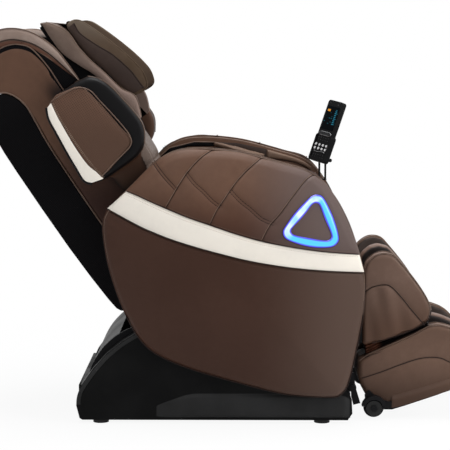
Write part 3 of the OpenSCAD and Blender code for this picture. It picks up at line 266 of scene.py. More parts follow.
def quilt_side(x, z):
    """Side of the quilted arm cushion, with its sewn seams"""
    form = bpy.context.scene.chair_form
    r = arm_share(x, z)
    lift = form.quilt_crown * (1 - np.exp(-near(x, z, STRIPE_TOP) / 11)) * smooth(1.0, 0.93, r)
    for line in SEAM_LINES:
        d = near(x, z, line)
        lift -= 4.2 * dip(d, 3.0) + 2.6 * dip(d, 20)
    for line in CROSS_LINES:
        d = near(x, z, line)
        lift -= 1.7 * dip(d - 3.4, 1.7) + 1.6 * dip(d, 15)
    return arm_side(x, z) + lift


def on_plane(line, y):
    """World points over a flat (x, z) line, y out"""
    return np.stack([line[:, 0], np.broadcast_to(y, len(line)), line[:, 1]], 1)


def on_arm(line, s, lift, face=arm_side):
    """World points over an (x, z) line on the arm of side s, lifted off its face"""
    return on_plane(line, s * (face(*line.T) + lift))


def back_point(n, u, y):
    """World place, in mm, of a point in the back's own plane"""
    return np.stack([BACK_AXLE[0] + n * BACK_COS - u * BACK_SIN, np.broadcast_to(y, n.shape),
                     BACK_AXLE[1] + n * BACK_SIN + u * BACK_COS], -1)


def to_back(x, z):
    """Place in the back's own plane of a world (x, z)"""
    dx, dz = x - BACK_AXLE[0], z - BACK_AXLE[1]
    return dx * BACK_COS + dz * BACK_SIN, dz * BACK_COS - dx * BACK_SIN


# ------------------------------------------------------------------ modelling helpers

def pick(obj):
    """Makes the object the only one selected, and the active one"""
    if bpy.context.object and bpy.context.object.mode != "OBJECT":
        bpy.ops.object.mode_set(mode="OBJECT")
    bpy.ops.object.select_all(action="DESELECT")
    obj.select_set(True)
    bpy.context.view_layer.objects.active = obj


def points_of(obj):
    """The mesh's points, one a row, in metres"""
    co = np.empty(len(obj.data.vertices) * 3)
    obj.data.vertices.foreach_get("co", co)
    return co.reshape(-1, 3)


def put_points(obj, co):
    """Moves the mesh's points to new places"""
    obj.data.vertices.foreach_set("co", np.ascontiguousarray(co, dtype=float).ravel())
    obj.data.update()


def apply(obj, kind, **settings):
    """Adds a modifier with its settings and applies it"""
    pick(obj)
    mod = obj.modifiers.new("step", kind)
    for key, value in settings.items():
        setattr(mod, key, value)
    bpy.ops.object.modifier_apply(modifier=mod.name)


def outward(obj, weld=0):
    """Turns all faces outward, after a weld of points that lie within that distance"""
    pick(obj)
    bpy.ops.object.mode_set(mode="EDIT")
    bpy.ops.mesh.select_all(action="SELECT")
    if weld:
        bpy.ops.mesh.remove_doubles(threshold=weld)
    bpy.ops.mesh.normals_make_consistent(inside=False)
    bpy.ops.object.mode_set(mode="OBJECT")


def lay_grid(name, nu, nv, place, join=False):
    """A grid primitive laid on a form: place(u, v) gives points in mm"""
    bpy.ops.object.select_all(action="DESELECT")
    bpy.ops.mesh.primitive_grid_add(x_subdivisions=nu, y_subdivisions=nv, size=2)
    obj = bpy.context.object
    obj.name = obj.data.name = name
    flat = points_of(obj)
    put_points(obj, np.asarray(place((flat[:, 0] + 1) / 2, (flat[:, 1] + 1) / 2)) * MM)
    if join:
        bpy.ops.object.mode_set(mode="EDIT")
        bpy.ops.mesh.select_all(action="SELECT")
        bpy.ops.mesh.remove_doubles(threshold=1e-6)
        bpy.ops.object.mode_set(mode="OBJECT")
    return obj


def close_back(obj, back):
    """Draws the border back to a rear face; back(co) gives the new places, in metres"""
    pick(obj)
    bpy.ops.object.mode_set(mode="EDIT")
    bpy.ops.mesh.select_mode(type="VERT")
    bpy.ops.mesh.select_all(action="DESELECT")
    bpy.ops.mesh.select_non_manifold()
    bpy.ops.mesh.extrude_edges_move()
    bpy.ops.object.mode_set(mode="OBJECT")
    chosen = np.empty(len(obj.data.vertices), bool)
    obj.data.vertices.foreach_get("select", chosen)
    co = points_of(obj)
    co[chosen] = back(co[chosen])
    put_points(obj, co)
    bpy.ops.object.mode_set(mode="EDIT")
    bpy.ops.mesh.edge_face_add()
    bpy.ops.object.mode_set(mode="OBJECT")
    outward(obj)


def flat_back(y):
    """Rear face in the plane y, in mm"""
    return lambda co: np.stack([co[:, 0], np.full(len(co), y * MM), co[:, 2]], 1)


def behind(co):
    """Rear face 3 mm behind, square to the back's plane"""
    return co - 0.003 * BACK_OUT


def cord_along(name, points, radius, closed=False):
    """Round piping along points given in mm"""
    curve = bpy.data.curves.new(name, "CURVE")
    curve.dimensions = "3D"
    curve.bevel_depth = radius * MM
    curve.bevel_resolution = 2
    curve.use_fill_caps = True
    line = curve.splines.new("POLY")
    line.points.add(len(points) - 1)
    line.points.foreach_set("co", np.hstack([points * MM, np.ones((len(points), 1))]).ravel())
    line.use_cyclic_u = closed
    obj = bpy.data.objects.new(name, curve)
    bpy.context.collection.objects.link(obj)
    pick(obj)
    bpy.ops.object.convert(target="MESH")
    obj = bpy.context.object
    bpy.ops.object.shade_smooth()
    return obj


def sew(name, runs, pitch, length, width):
    """Rows of stitches: each run is a line of points in mm that lies on the surface"""
    bpy.ops.object.select_all(action="DESELECT")
    bpy.ops.mesh.primitive_uv_sphere_add(segments=6, ring_count=4, radius=1)
    obj = bpy.context.object
    obj.name = obj.data.name = name
    ball = points_of(obj)
    faces = [tuple(f.vertices) for f in obj.data.polygons]
    verts, sides, base = [], [], 0
    for run in runs:
        path = walk(run, pitch, curved=False)
        for a, b in zip(path[:-1], path[1:]):
            d = (b - a) / np.linalg.norm(b - a)
            e = np.cross(d, (0, 1, 0) if abs(d[1]) < 0.9 else (1, 0, 0))
            e /= np.linalg.norm(e)
            m = np.stack([d * length / 2, e * width / 2, np.cross(d, e) * width / 2])
            verts.append(((a + b) / 2 + ball @ m) * MM)
            sides += [tuple(base + i for i in f) for f in faces]
            base += len(ball)
    obj.data.clear_geometry()
    obj.data.from_pydata(np.concatenate(verts).tolist(), [], sides)
    outward(obj)
    bpy.ops.object.shade_smooth()
    return obj


def copy_node(node, name):
    """A welded copy of a frame node's own mesh"""
    source = frame["nodes"][node]
    obj = bpy.data.objects.new(name, source.data.copy())
    obj.data.materials.clear()
    bpy.context.collection.objects.link(obj)
    outward(obj, weld=2e-5)
    return obj


def soften(node, name, voxel, rounds):
    """Soft copy of a node: one even skin with its edges rounded off"""
    obj = copy_node(node, name)
    apply(obj, "REMESH", mode="VOXEL", voxel_size=voxel)
    apply(obj, "SMOOTH", factor=0.5, iterations=rounds)
    return obj


def push(obj, move):
    """Moves the points in code: move(x, y, z, normals) gives shifts in mm"""
    co = points_of(obj) / MM
    normals = np.empty(len(co) * 3)
    obj.data.vertices.foreach_get("normal", normals)
    normals = normals.reshape(-1, 3)
    put_points(obj, (co + move(co[:, 0], co[:, 1], co[:, 2], normals)) * MM)


def blow_up(obj, pressure, cap, frames):
    """Fills a closed skin by cloth pressure and caps how far it may swell, in mm"""
    start = points_of(obj)
    pick(obj)
    mod = obj.modifiers.new("fill", "CLOTH")
    mod.settings.use_pressure = True
    mod.settings.uniform_pressure_force = pressure
    mod.settings.tension_stiffness = mod.settings.compression_stiffness = 12
    mod.settings.effector_weights.gravity = 0
    scene = bpy.context.scene
    for f in range(1, frames + 1):
        scene.frame_set(f)
    bpy.ops.object.modifier_apply(modifier=mod.name)
    scene.frame_set(1)
    co = points_of(obj)
    move = co - start
    size = np.linalg.norm(move, axis=1, keepdims=True)
    put_points(obj, start + move * np.minimum(1, cap * MM / np.maximum(size, 1e-9)))


def dress(obj, body, slot, finish, nodes=(), angle=None):
    """Gives a finished piece its body, its material and the nodes that it replaces"""
    if angle:
        pick(obj)
        bpy.ops.object.shade_smooth_by_angle(angle=math.radians(angle))
    obj.data.materials.clear()
    obj.data.materials.append(material(finish))
    if nodes:
        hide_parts(*nodes)
    if body:
        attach(obj, body)


def skin(name, nu, nv, place, back, body, finish, slot="brown_leather", nodes=(), join=False, angle=50):
    """Dressed sheet laid on a form and closed behind, by back(co) or in the plane y = back"""
    obj = lay_grid(name, nu, nv, place, join)
    close_back(obj, back if callable(back) else flat_back(back))
    dress(obj, body, slot, finish, nodes, angle)


def trim(name, points, radius, body, finish="piping", slot="brown_leather", closed=False):
    """Dressed round cord along points given in mm"""
    dress(cord_along(name, points, radius, closed), body, slot, finish)


# ------------------------------------------------------------------ materials

def _math(operation):
    """A method of Term that adds one math node"""
    def method(self, other=None):
        node = self.tree.nodes.new("ShaderNodeMath")
        node.operation = operation
        for socket, term in zip(node.inputs, [self] if other is None else [self, other]):
            connect(self.tree, socket, term)
        return Term(self.tree, node.outputs[0])
    return method


class Term:
    """A number or colour that runs through a material's nodes"""

    def __init__(self, tree, socket):
        self.tree = tree
        self.socket = socket

    __add__ = _math("ADD")
    __sub__ = _math("SUBTRACT")
    __mul__ = _math("MULTIPLY")
    __pow__ = _math("POWER")
    sine = _math("SINE")
    part = _math("FRACT")
    whole = _math("FLOOR")
    size = _math("ABSOLUTE")
    most = _math("MAXIMUM")


def connect(tree, socket, value):
    """Links a Term to the socket, or sets the socket to a plain value"""
    if isinstance(value, Term):
        tree.links.new(value.socket, socket)
    elif hasattr(socket.default_value, "__len__") and len(socket.default_value) == 4 and len(value) == 3:
        socket.default_value = (*value, 1)
    else:
        socket.default_value = value


class Tree:
    """The emptied node tree of a material or a world"""

    def __init__(self, owner):
        owner.use_nodes = True
        self.tree = owner.node_tree
        self.tree.nodes.clear()

    def node(self, kind, settings=None, out=0, **sockets):
        """Adds a node: its settings first, then the values or links of its sockets"""
        node = self.tree.nodes.new(kind)
        for key, value in (settings or {}).items():
            setattr(node, key, value)
        for key, value in sockets.items():
            name = int(key[1:]) if key[0] == "i" and key[1:].isdigit() else key.replace("_", " ")
            connect(self.tree, node.inputs[name], value)
        return Term(self.tree, node.outputs[out])

    def place(self, kind="Object"):
        return self.node("ShaderNodeTexCoord", out=kind)

    def axes(self, vector):
        node = self.tree.nodes.new("ShaderNodeSeparateXYZ")
        connect(self.tree, node.inputs[0], vector)
        return [Term(self.tree, s) for s in node.outputs]

    def noise(self, vector, scale, detail=3.0, rough=0.5):
        return self.node("ShaderNodeTexNoise", Vector=vector, Scale=scale, Detail=detail, Roughness=rough)

    def blend(self, share, a, b):
        return self.node("ShaderNodeMix", {"data_type": "RGBA"}, 2, i0=share, i6=a, i7=b)

    def between(self, value, low, high, a=0.0, b=1.0):
        return self.node("ShaderNodeMapRange", {"interpolation_type": "SMOOTHSTEP"}, Value=value,
                         From_Min=low, From_Max=high, To_Min=a, To_Max=b)

    def seen(self):
        """1 for a ray from the camera, a reflection or a clear piece, and 0 for light"""
        rays = [self.node("ShaderNodeLightPath", out="Is %s Ray" % kind)
                for kind in ("Camera", "Glossy", "Transmission")]
        return rays[0].most(rays[1]).most(rays[2])


class Finish(Tree):
    """A node material under construction, with the settings of its one shader"""

    def __init__(self, name, **constants):
        self.material = bpy.data.materials.new(name)
        super().__init__(self.material)
        self.shader = self.tree.nodes.new("ShaderNodeBsdfPrincipled")
        self.out = self.tree.nodes.new("ShaderNodeOutputMaterial").inputs[0]
        self.tree.links.new(self.shader.outputs[0], self.out)
        self.set(**constants)

    def set(self, **sockets):
        for key, value in sockets.items():
            name = key.replace("_", " ").title().replace("Ior", "IOR")
            connect(self.tree, self.shader.inputs[name], value)

    def relief(self, height, distance, strength):
        self.set(normal=self.node("ShaderNodeBump", Height=height, Distance=distance, Strength=strength))


def leather(name, colour, light, rough=0.46, holes=False, creases=0.4, gloss=0.17, fades=(), hollow=None):
    """Grained hide with soft creases

    Holes punch it all over, each darkened inside by painted shade. A fade is (axis, low, high, deep): the hide
    is deep at low and has its own tone at high, in metres along the axis; the fades paint light and shade.
    Hollow shade is painted shade in the dip between dome and back pad.
    """
    f = Finish(name, specular_ior_level=gloss)
    p = f.place()
    pebble = f.between(f.node("ShaderNodeTexVoronoi", {"feature": "DISTANCE_TO_EDGE"}, Vector=p, Scale=640.0),
                       0.0, 0.16)
    fine = f.noise(p, 2100.0, 2.0)
    folds = f.noise(p, 46.0, 5.0, 0.62)
    broad = f.noise(p, 5.0, 2.0)
    tone = f.blend(f.between(folds * 0.35 + broad * 0.65, 0.36, 0.66), colour, light)
    height = pebble * 0.22 + fine * 0.06 + folds * creases
    if holes:
        x, _, z = f.axes(f.node("ShaderNodeMapping", Vector=p, Rotation=(0.0, BACK_LEAN, 0.0),
                                Scale=(185.0, 1.0, 185.0)))
        dx, dz = x.part() - 0.5, z.part() - 0.5
        hole = f.between((dx * dx + dz * dz) ** 0.5, 0.17, 0.25, 1.0, 0.0)
        # Painted shade: each hole darkened to a quarter of the hide's colour
        tone = f.blend(hole, tone, scaled(colour, 0.25))
        height = height - hole * 0.9
    if hollow:
        # Painted shade in the dip between dome and back pad
        x, _, z = f.axes(p)
        dx, dz = x - BACK_AXLE[0] * MM, z - BACK_AXLE[1] * MM
        n = dx * BACK_COS + dz * BACK_SIN
        u = dz * BACK_COS - dx * BACK_SIN
        tone = f.blend(f.between(n, 0.128, 0.166) * f.between(u, 0.735, 0.655), tone, hollow)
    # Painted light and shade: each fade blends the tone by place along one axis
    for axis, low, high, deep in fades:
        here = f.axes(p)[axis]
        tone = f.blend(f.between(here.size() if axis == 1 else here, low, high), deep, tone)
    f.set(base_color=tone,
          roughness=f.between(pebble * 0.4 + folds * 0.6, 0.2, 0.8, rough + 0.07, rough - 0.07))
    f.relief(height, 0.0006, 0.75)
    return f.material


def edged(name, colour, light, dark, edge, axis=1, soft=0.002, inner=None):
    """Hide that turns dark beyond the distance edge from the origin along an axis, in metres

    Inner is (distance, tone): short of that distance it shows the tone, and further in the dark again.
    """
    f = Finish(name, specular_ior_level=0.1)
    p = f.place()
    folds = f.noise(p, 46.0, 5.0, 0.62)
    tone = f.blend(f.between(folds, 0.36, 0.66), colour, light)
    away = f.axes(p)[axis].size()
    if inner:
        limit, inner_tone = inner
        tone = f.blend(f.between(away, limit - 0.004, limit), inner_tone, tone)
        tone = f.blend(f.between(away, limit - 0.018, limit - 0.015), dark, tone)
    f.set(base_color=f.blend(f.between(away, edge, edge + soft), tone, dark),
          roughness=f.between(folds, 0.2, 0.8, 0.55, 0.42))
    f.relief(f.noise(p, 1400.0, 2.0) * 0.1 + folds * 0.5, 0.0006, 0.75)
    return f.material


def knit(name, colour, light, scale, rough):
    """Spacer mesh: rows of loops seen as fine ribs"""
    f = Finish(name, specular_ior_level=0.05)
    p = f.place()
    x, y, z = f.axes(p)
    loops = (x * scale + y * scale).sine() * (z * scale - y * scale).sine()
    share = f.between(loops, -0.6, 0.8)
    f.set(base_color=f.blend(share * 0.8 + f.noise(p, 30.0) * 0.2, colour, light), roughness=rough)
    f.relief(share * 0.7 + f.noise(p, 60.0, 4.0) * 0.3, 0.0006, 0.8)
    return f.material


def moulded(name, colour, light, rough, grain=900.0, depth=0.00012, gloss=0.4):
    """Moulded plastic or rubber with a fine spark grain"""
    f = Finish(name, specular_ior_level=gloss)
    p = f.place()
    spark = f.noise(p, grain, 3.0, 0.6)
    wear = f.noise(p, 9.0, 4.0)
    f.set(base_color=f.blend(f.between(wear, 0.35, 0.7), colour, light),
          roughness=f.between(wear, 0.3, 0.7, rough - 0.05, rough + 0.06))
    f.relief(spark, depth, 0.7)
    return f.material


def metal(name, colour, light, rough, metallic=1.0, gloss=0.25):
    """Drawn or painted steel with faint lines along it"""
    f = Finish(name, metallic=metallic, specular_ior_level=gloss)
    p = f.place()
    lines = f.noise(f.node("ShaderNodeMapping", Vector=p, Scale=(18.0, 260.0, 260.0)), 6.0, 4.0)
    f.set(base_color=f.blend(f.between(lines, 0.3, 0.7), colour, light),
          roughness=f.between(f.noise(p, 14.0, 3.0), 0.3, 0.7, rough - 0.06, rough + 0.08))
    f.relief(lines, 0.0001, 0.5)
    return f.material


def ring_light():
    """Lit band: pale blue along its middle and violet at both rims"""
    f = Finish("Ring light", roughness=0.25, emission_strength=1.0, base_color=(0.02, 0.05, 0.12))
    p = f.place()
    _, v, _ = f.axes(f.place("UV"))
    rim = f.between((v - 0.5).size(), 0.25, 0.39)
    x, _, z = f.axes(p)
    left = f.between(x - (z - 0.555) * 0.85, 0.178, 0.200, 1.0, 0.0)
    lamps = f.between(f.noise(p, 40.0, 1.0), 0.3, 0.7, 0.35, 1.0) * left
    core = f.blend(lamps, (0.07, 0.62, 0.95), (0.82, 0.93, 1.0))
    f.set(emission_color=f.blend(rim, core, (0.07, 0.025, 0.80)))
    return f.material


def screen_face():
    """Lit display: dark glass with rows of small marks and one warm mark"""
    f = Finish("Screen", roughness=0.2, emission_strength=0.9, base_color=(0.0015, 0.002, 0.003),
               specular_ior_level=0.02)
    u, v, _ = f.axes(f.place("UV"))
    page = f.between((v - 0.55).size(), 0.32, 0.34, 1.0, 0.0)
    column_u, row_v = u * 6.0, v * 13.0
    cell_u, cell_v = column_u.part() - 0.5, row_v.part() - 0.5
    spot = f.between(cell_u.size().most(cell_v.size() * 1.4), 0.22, 0.34, 1.0, 0.0)
    cell = f.node("ShaderNodeCombineXYZ", X=column_u.whole(), Y=row_v.whole())
    pattern = f.node("ShaderNodeTexWhiteNoise", {"noise_dimensions": "2D"}, Vector=cell)
    marks = spot * f.between(pattern, 0.5, 0.9) * page
    column = (f.between((u - 0.80).size(), 0.05, 0.08, 1.0, 0.0)
              * f.between(cell_v.size(), 0.2, 0.3, 1.0, 0.0) * page)
    warm = f.between((u - 0.2).size().most((v - 0.82).size() * 2.4), 0.09, 0.12, 1.0, 0.0)
    lit = f.blend(marks, (0.0, 0.0006, 0.001), (0.010, 0.10, 0.13))
    lit = f.blend(column, lit, (0.02, 0.20, 0.30))
    f.set(emission_color=f.blend(warm, lit, (0.9, 0.35, 0.03)))
    return f.material


def scaled(colour, k):
    """The colour, k times as light"""
    return tuple(k * v for v in colour)


LEG_WALL_SHADE = (1, 0.180, 0.188, (0.026, 0.016, 0.012))    # fade to painted shade on the walls inside the leg rest
# Near-black painted shade: the wing's dark rim and the cord beside its cream strip
BLACK_SHADE = (0.004, 0.0036, 0.004)


def finishes(look):
    """What each finish is made of: its maker, name, two tones and roughness, then its options"""
    brown, cream, rough = tuple(look.brown), tuple(look.cream), look.leather_rough
    return {
        "brown": (leather, "Brown leather", brown, scaled(brown, 1.18), rough, {}),
        # Lit copy of the brown leather, painted top light; darker below z 0.52-0.70, painted shade; greyer
        # forward of x 0.27, painted sheen
        "quilt": (leather, "Quilt leather", scaled(brown, 1.05), scaled(brown, 1.3), rough,
                  dict(gloss=0.14, fades=[(2, 0.52, 0.70, (0.060, 0.024, 0.014)),
                                          (0, 0.27, 0.02, (0.108, 0.076, 0.068))])),
        # Shaded copy of the brown leather, painted shade on the side that gets little top light; lighter
        # towards the front end (x 0.05-0.36), painted light
        "panel": (leather, "Panel leather", (0.046, 0.0205, 0.0130), (0.053, 0.0245, 0.0160), rough,
                  dict(gloss=0.11, fades=[(0, 0.36, 0.05, (0.088, 0.055, 0.042))])),
        # Darker below z 0.60-0.82 and in the hollow: painted shade under the wing and in the dip between dome
        # and back pad
        "bolster": (leather, "Bolster leather", scaled(brown, 0.95), scaled(brown, 1.12), rough,
                    dict(gloss=0.12, fades=[(2, 0.60, 0.82, (0.030, 0.012, 0.008))],
                         hollow=(0.005, 0.003, 0.003))),
        # Calf tones lighter than the brown leather: painted top light. Calf and foot darker towards the
        # bottom, the ridge's sides near black, the inner walls dark: painted shade
        "calf": (leather, "Calf leather", (0.135, 0.082, 0.060), (0.165, 0.104, 0.078), rough,
                 dict(fades=[(2, 0.24, 0.42, scaled(brown, 0.85)), LEG_WALL_SHADE])),
        "foot": (leather, "Foot leather", (0.112, 0.064, 0.044), (0.140, 0.082, 0.057), rough,
                 dict(fades=[(2, 0.04, 0.19, scaled(brown, 0.55)), LEG_WALL_SHADE])),
        "ridge": (leather, "Ridge leather", (0.115, 0.068, 0.050), (0.145, 0.088, 0.065), rough,
                  dict(fades=[(1, 0.030, 0.024, (0.010, 0.006, 0.005))])),
        "roll": (leather, "Pad side leather", (0.120, 0.084, 0.066), (0.155, 0.112, 0.090), 0.5,
                 dict(creases=0.8, gloss=0.05, fades=[(2, 0.92, 1.05, (0.250, 0.180, 0.150))])),
        # Lighter above z 1.05-1.12, painted top light; darker across the front face short of the ends, painted
        # shade
        "pillow": (leather, "Pillow leather", (0.088, 0.060, 0.040), (0.110, 0.077, 0.054), 0.5,
                   dict(creases=0.7, gloss=0.0, fades=[(2, 1.120, 1.050, (0.150, 0.116, 0.088)),
                                                       (1, 0.150, 0.184, (0.045, 0.031, 0.022))])),
        "soft": (leather, "Soft brown leather", (0.115, 0.070, 0.048), (0.150, 0.096, 0.068), rough + 0.04,
                 dict(creases=0.7)),
        # Dark leather: painted shade in the arm's sunk strip; on the pillow gussets partly their own darker
        # leather and partly painted shade
        "deep": (leather, "Deep brown leather", (0.028, 0.016, 0.012), (0.040, 0.024, 0.018), 0.5,
                 dict(gloss=0.2)),
        # Darker below z 0.78-0.92: painted shade on the lower shoulder face
        "punched": (leather, "Punched leather", scaled(brown, 1.1), scaled(brown, 1.25), rough + 0.04,
                    dict(holes=True, fades=[(2, 0.78, 0.92, scaled(brown, 0.8))])),
        # Near black beyond |y| 0.198-0.203: painted shade on the pad's sides in the gap under the hood
        "taupe": (leather, "Taupe leather", (0.070, 0.045, 0.033), (0.098, 0.066, 0.050), 0.5,
                  dict(creases=0.9, fades=[(1, 0.2030, 0.1980, (0.008, 0.006, 0.005))])),
        "russet": (leather, "Russet leather", (0.070, 0.028, 0.016), (0.105, 0.044, 0.026), 0.5,
                   dict(gloss=0.2)),
        "leaf": (leather, "Pale brown leather", (0.245, 0.178, 0.145), (0.315, 0.240, 0.200), 0.5, {}),
        "cream": (leather, "Cream leather", cream, scaled(cream, 0.94), 0.5, {}),
        "piping": (leather, "Piping leather", (0.105, 0.066, 0.048), (0.150, 0.098, 0.072), 0.42, {}),
        "dark piping": (leather, "Dark piping leather", (0.016, 0.008, 0.006), (0.026, 0.014, 0.011), 0.5,
                        dict(gloss=0.15)),
        "black shade": (leather, "Black leather", BLACK_SHADE, (0.008, 0.007, 0.0075), 0.5, dict(gloss=0.1)),
        "folds": (edged, "Folded skirt", (0.075, 0.028, 0.016), (0.115, 0.046, 0.028), (0.004, 0.003, 0.003),
                  dict(edge=0.425, axis=0, soft=0.02)),
        # Near black beyond |y| 0.2965: painted shade at the wing's rim
        "wing": (edged, "Wing leather", (0.014, 0.008, 0.006), (0.024, 0.014, 0.010), BLACK_SHADE,
                 dict(edge=0.2965, inner=(0.254, scaled(brown, 0.7)))),
        "mesh": (knit, "Black mesh", (0.0018, 0.0016, 0.0018), (0.0075, 0.007, 0.0078), 900.0,
                 dict(rough=0.9)),
        "thread": (moulded, "Brown thread", (0.016, 0.009, 0.007), (0.026, 0.015, 0.011), 0.7,
                   dict(gloss=0.1)),
        # Pale seam tone: real thread in the stitches, painted highlight in the cords beside the seams
        "seam thread and highlight": (moulded, "Seam thread", (0.17, 0.11, 0.082), (0.23, 0.155, 0.118), 0.7,
                      dict(gloss=0.1)),
        "pale thread": (moulded, "Pale thread", (0.30, 0.22, 0.16), (0.42, 0.33, 0.25), 0.6, {}),
        "cover": (moulded, "Base plastic", (0.0050, 0.0050, 0.0051), (0.0080, 0.0080, 0.0080), 0.42,
                  dict(gloss=0.04)),
        # Lighter than the base plastic: painted highlight on the ledge and the rim
        "ledge": (moulded, "Ledge plastic", (0.018, 0.018, 0.018), (0.026, 0.026, 0.026), 0.40,
                  dict(gloss=0.08)),
        "plastic": (moulded, "Black plastic", (0.0040, 0.0040, 0.0044), (0.0070, 0.0070, 0.0074), 0.42,
                    dict(gloss=0.06)),
        "handset": (moulded, "Handset plastic", (0.0012, 0.0012, 0.0016), (0.0024, 0.0024, 0.0028), 0.35,
                    dict(gloss=0.0)),
        "roller": (moulded, "Roller plastic", (0.26, 0.022, 0.010), (0.34, 0.035, 0.016), 0.38, {}),
        "rubber": (moulded, "Rubber", (0.0060, 0.0060, 0.0060), (0.010, 0.010, 0.010), 0.6,
                   dict(grain=500.0, depth=0.0003, gloss=0.25)),
        "grey": (moulded, "Grey marks", (0.05, 0.05, 0.055), (0.08, 0.08, 0.085), 0.5, {}),
        "bar key": (moulded, "Bar key", (0.006, 0.006, 0.007), (0.010, 0.010, 0.011), 0.3, dict(gloss=0.2)),
        "white key": (moulded, "White keys", (0.80, 0.80, 0.80), (0.88, 0.88, 0.88), 0.45, {}),
        "frame": (metal, "Painted steel", (0.0055, 0.0055, 0.0060), (0.009, 0.009, 0.010), 0.45,
                  dict(metallic=0.0, gloss=0.08)),
        "steel": (metal, "Bright steel", (0.42, 0.43, 0.45), (0.56, 0.57, 0.59), 0.32, {}),
        "silver": (metal, "Silver key", (0.55, 0.56, 0.58), (0.68, 0.69, 0.71), 0.3, {}),
        "ring": (ring_light, {}),
        "screen": (screen_face, {}),
    }


MADE = {}


def material(name):
    """The material of that name, made when it is first wanted"""
    if name not in MADE:
        make, *values, options = finishes(bpy.context.scene.chair_look)[name]
        MADE[name] = make(*values, **options)
    return MADE[name]


SLOT_FINISH = {
    "brown_leather": "brown", "soft_leather": "soft", "perforated_leather": "punched",
    "cream_leather": "cream", "black_fabric": "mesh", "dark_plastic": "cover",
    "black_plastic": "plastic", "roller_plastic": "roller", "foot_rubber": "rubber",
    "black_steel": "frame", "bright_steel": "steel", "ring_light": "ring", "screen_glass": "handset",
    "white_keys": "white key", "silver_key": "bar key",
}


# ------------------------------------------------------------------ settings

class ChairForm(PropertyGroup):
    """Sizes that shape the sewn pieces"""

    arm_bulge: FloatProperty(name="Arm bulge", description="How far the arm's side stands out, in mm",
                             default=65.0, min=40.0, max=70.0)
    quilt_crown: FloatProperty(name="Quilt crown", description="Rise of the quilted cushion, in mm",
                               default=7.0, min=2.0, max=9.0)
    wrinkle: FloatProperty(name="Wrinkles", description="Depth of the soft wrinkles, in mm",
                           default=2.2, min=0.0, max=5.0)
    pressure: FloatProperty(name="Fill pressure", description="Cloth pressure that fills the cushions",
                            default=4.0, min=1.0, max=8.0)
    fineness: IntProperty(name="Fineness", description="Grid steps along the quilted cushion",
                          default=270, min=90, max=360)


class ChairLook(PropertyGroup):
    """Colours and finishes that a user would change"""

    brown: FloatVectorProperty(name="Brown leather", description="Colour of the main leather",
                               subtype="COLOR", default=(0.100, 0.052, 0.033), min=0.0, max=1.0)
    cream: FloatVectorProperty(name="Cream leather", description="Colour of the light strips",
                               subtype="COLOR", default=(0.88, 0.82, 0.725), min=0.0, max=1.0)
    leather_rough: FloatProperty(name="Leather roughness", description="Roughness of the main leather",
                                 default=0.46, min=0.2, max=0.8)
    floor: FloatVectorProperty(name="Floor", description="Colour of the floor", subtype="COLOR",
                               default=(0.86, 0.86, 0.86), min=0.0, max=1.0)


# ------------------------------------------------------------------ pieces

class CHAIR_OT_hardware(Operator):
    """Gives every frame node its finish"""

    bl_idname = "chair.hardware"
    bl_label = "Hardware finishes"

    def execute(self, context):
        for part in frame["record"]["subparts"]:
            obj = frame["nodes"][part["node"]]
            finish = material(SLOT_FINISH[part["material_slot"]])
            if not obj.material_slots:
                obj.data.materials.append(finish)
            for item in obj.material_slots:
                item.link = "OBJECT"
                item.material = finish
        return {"FINISHED"}


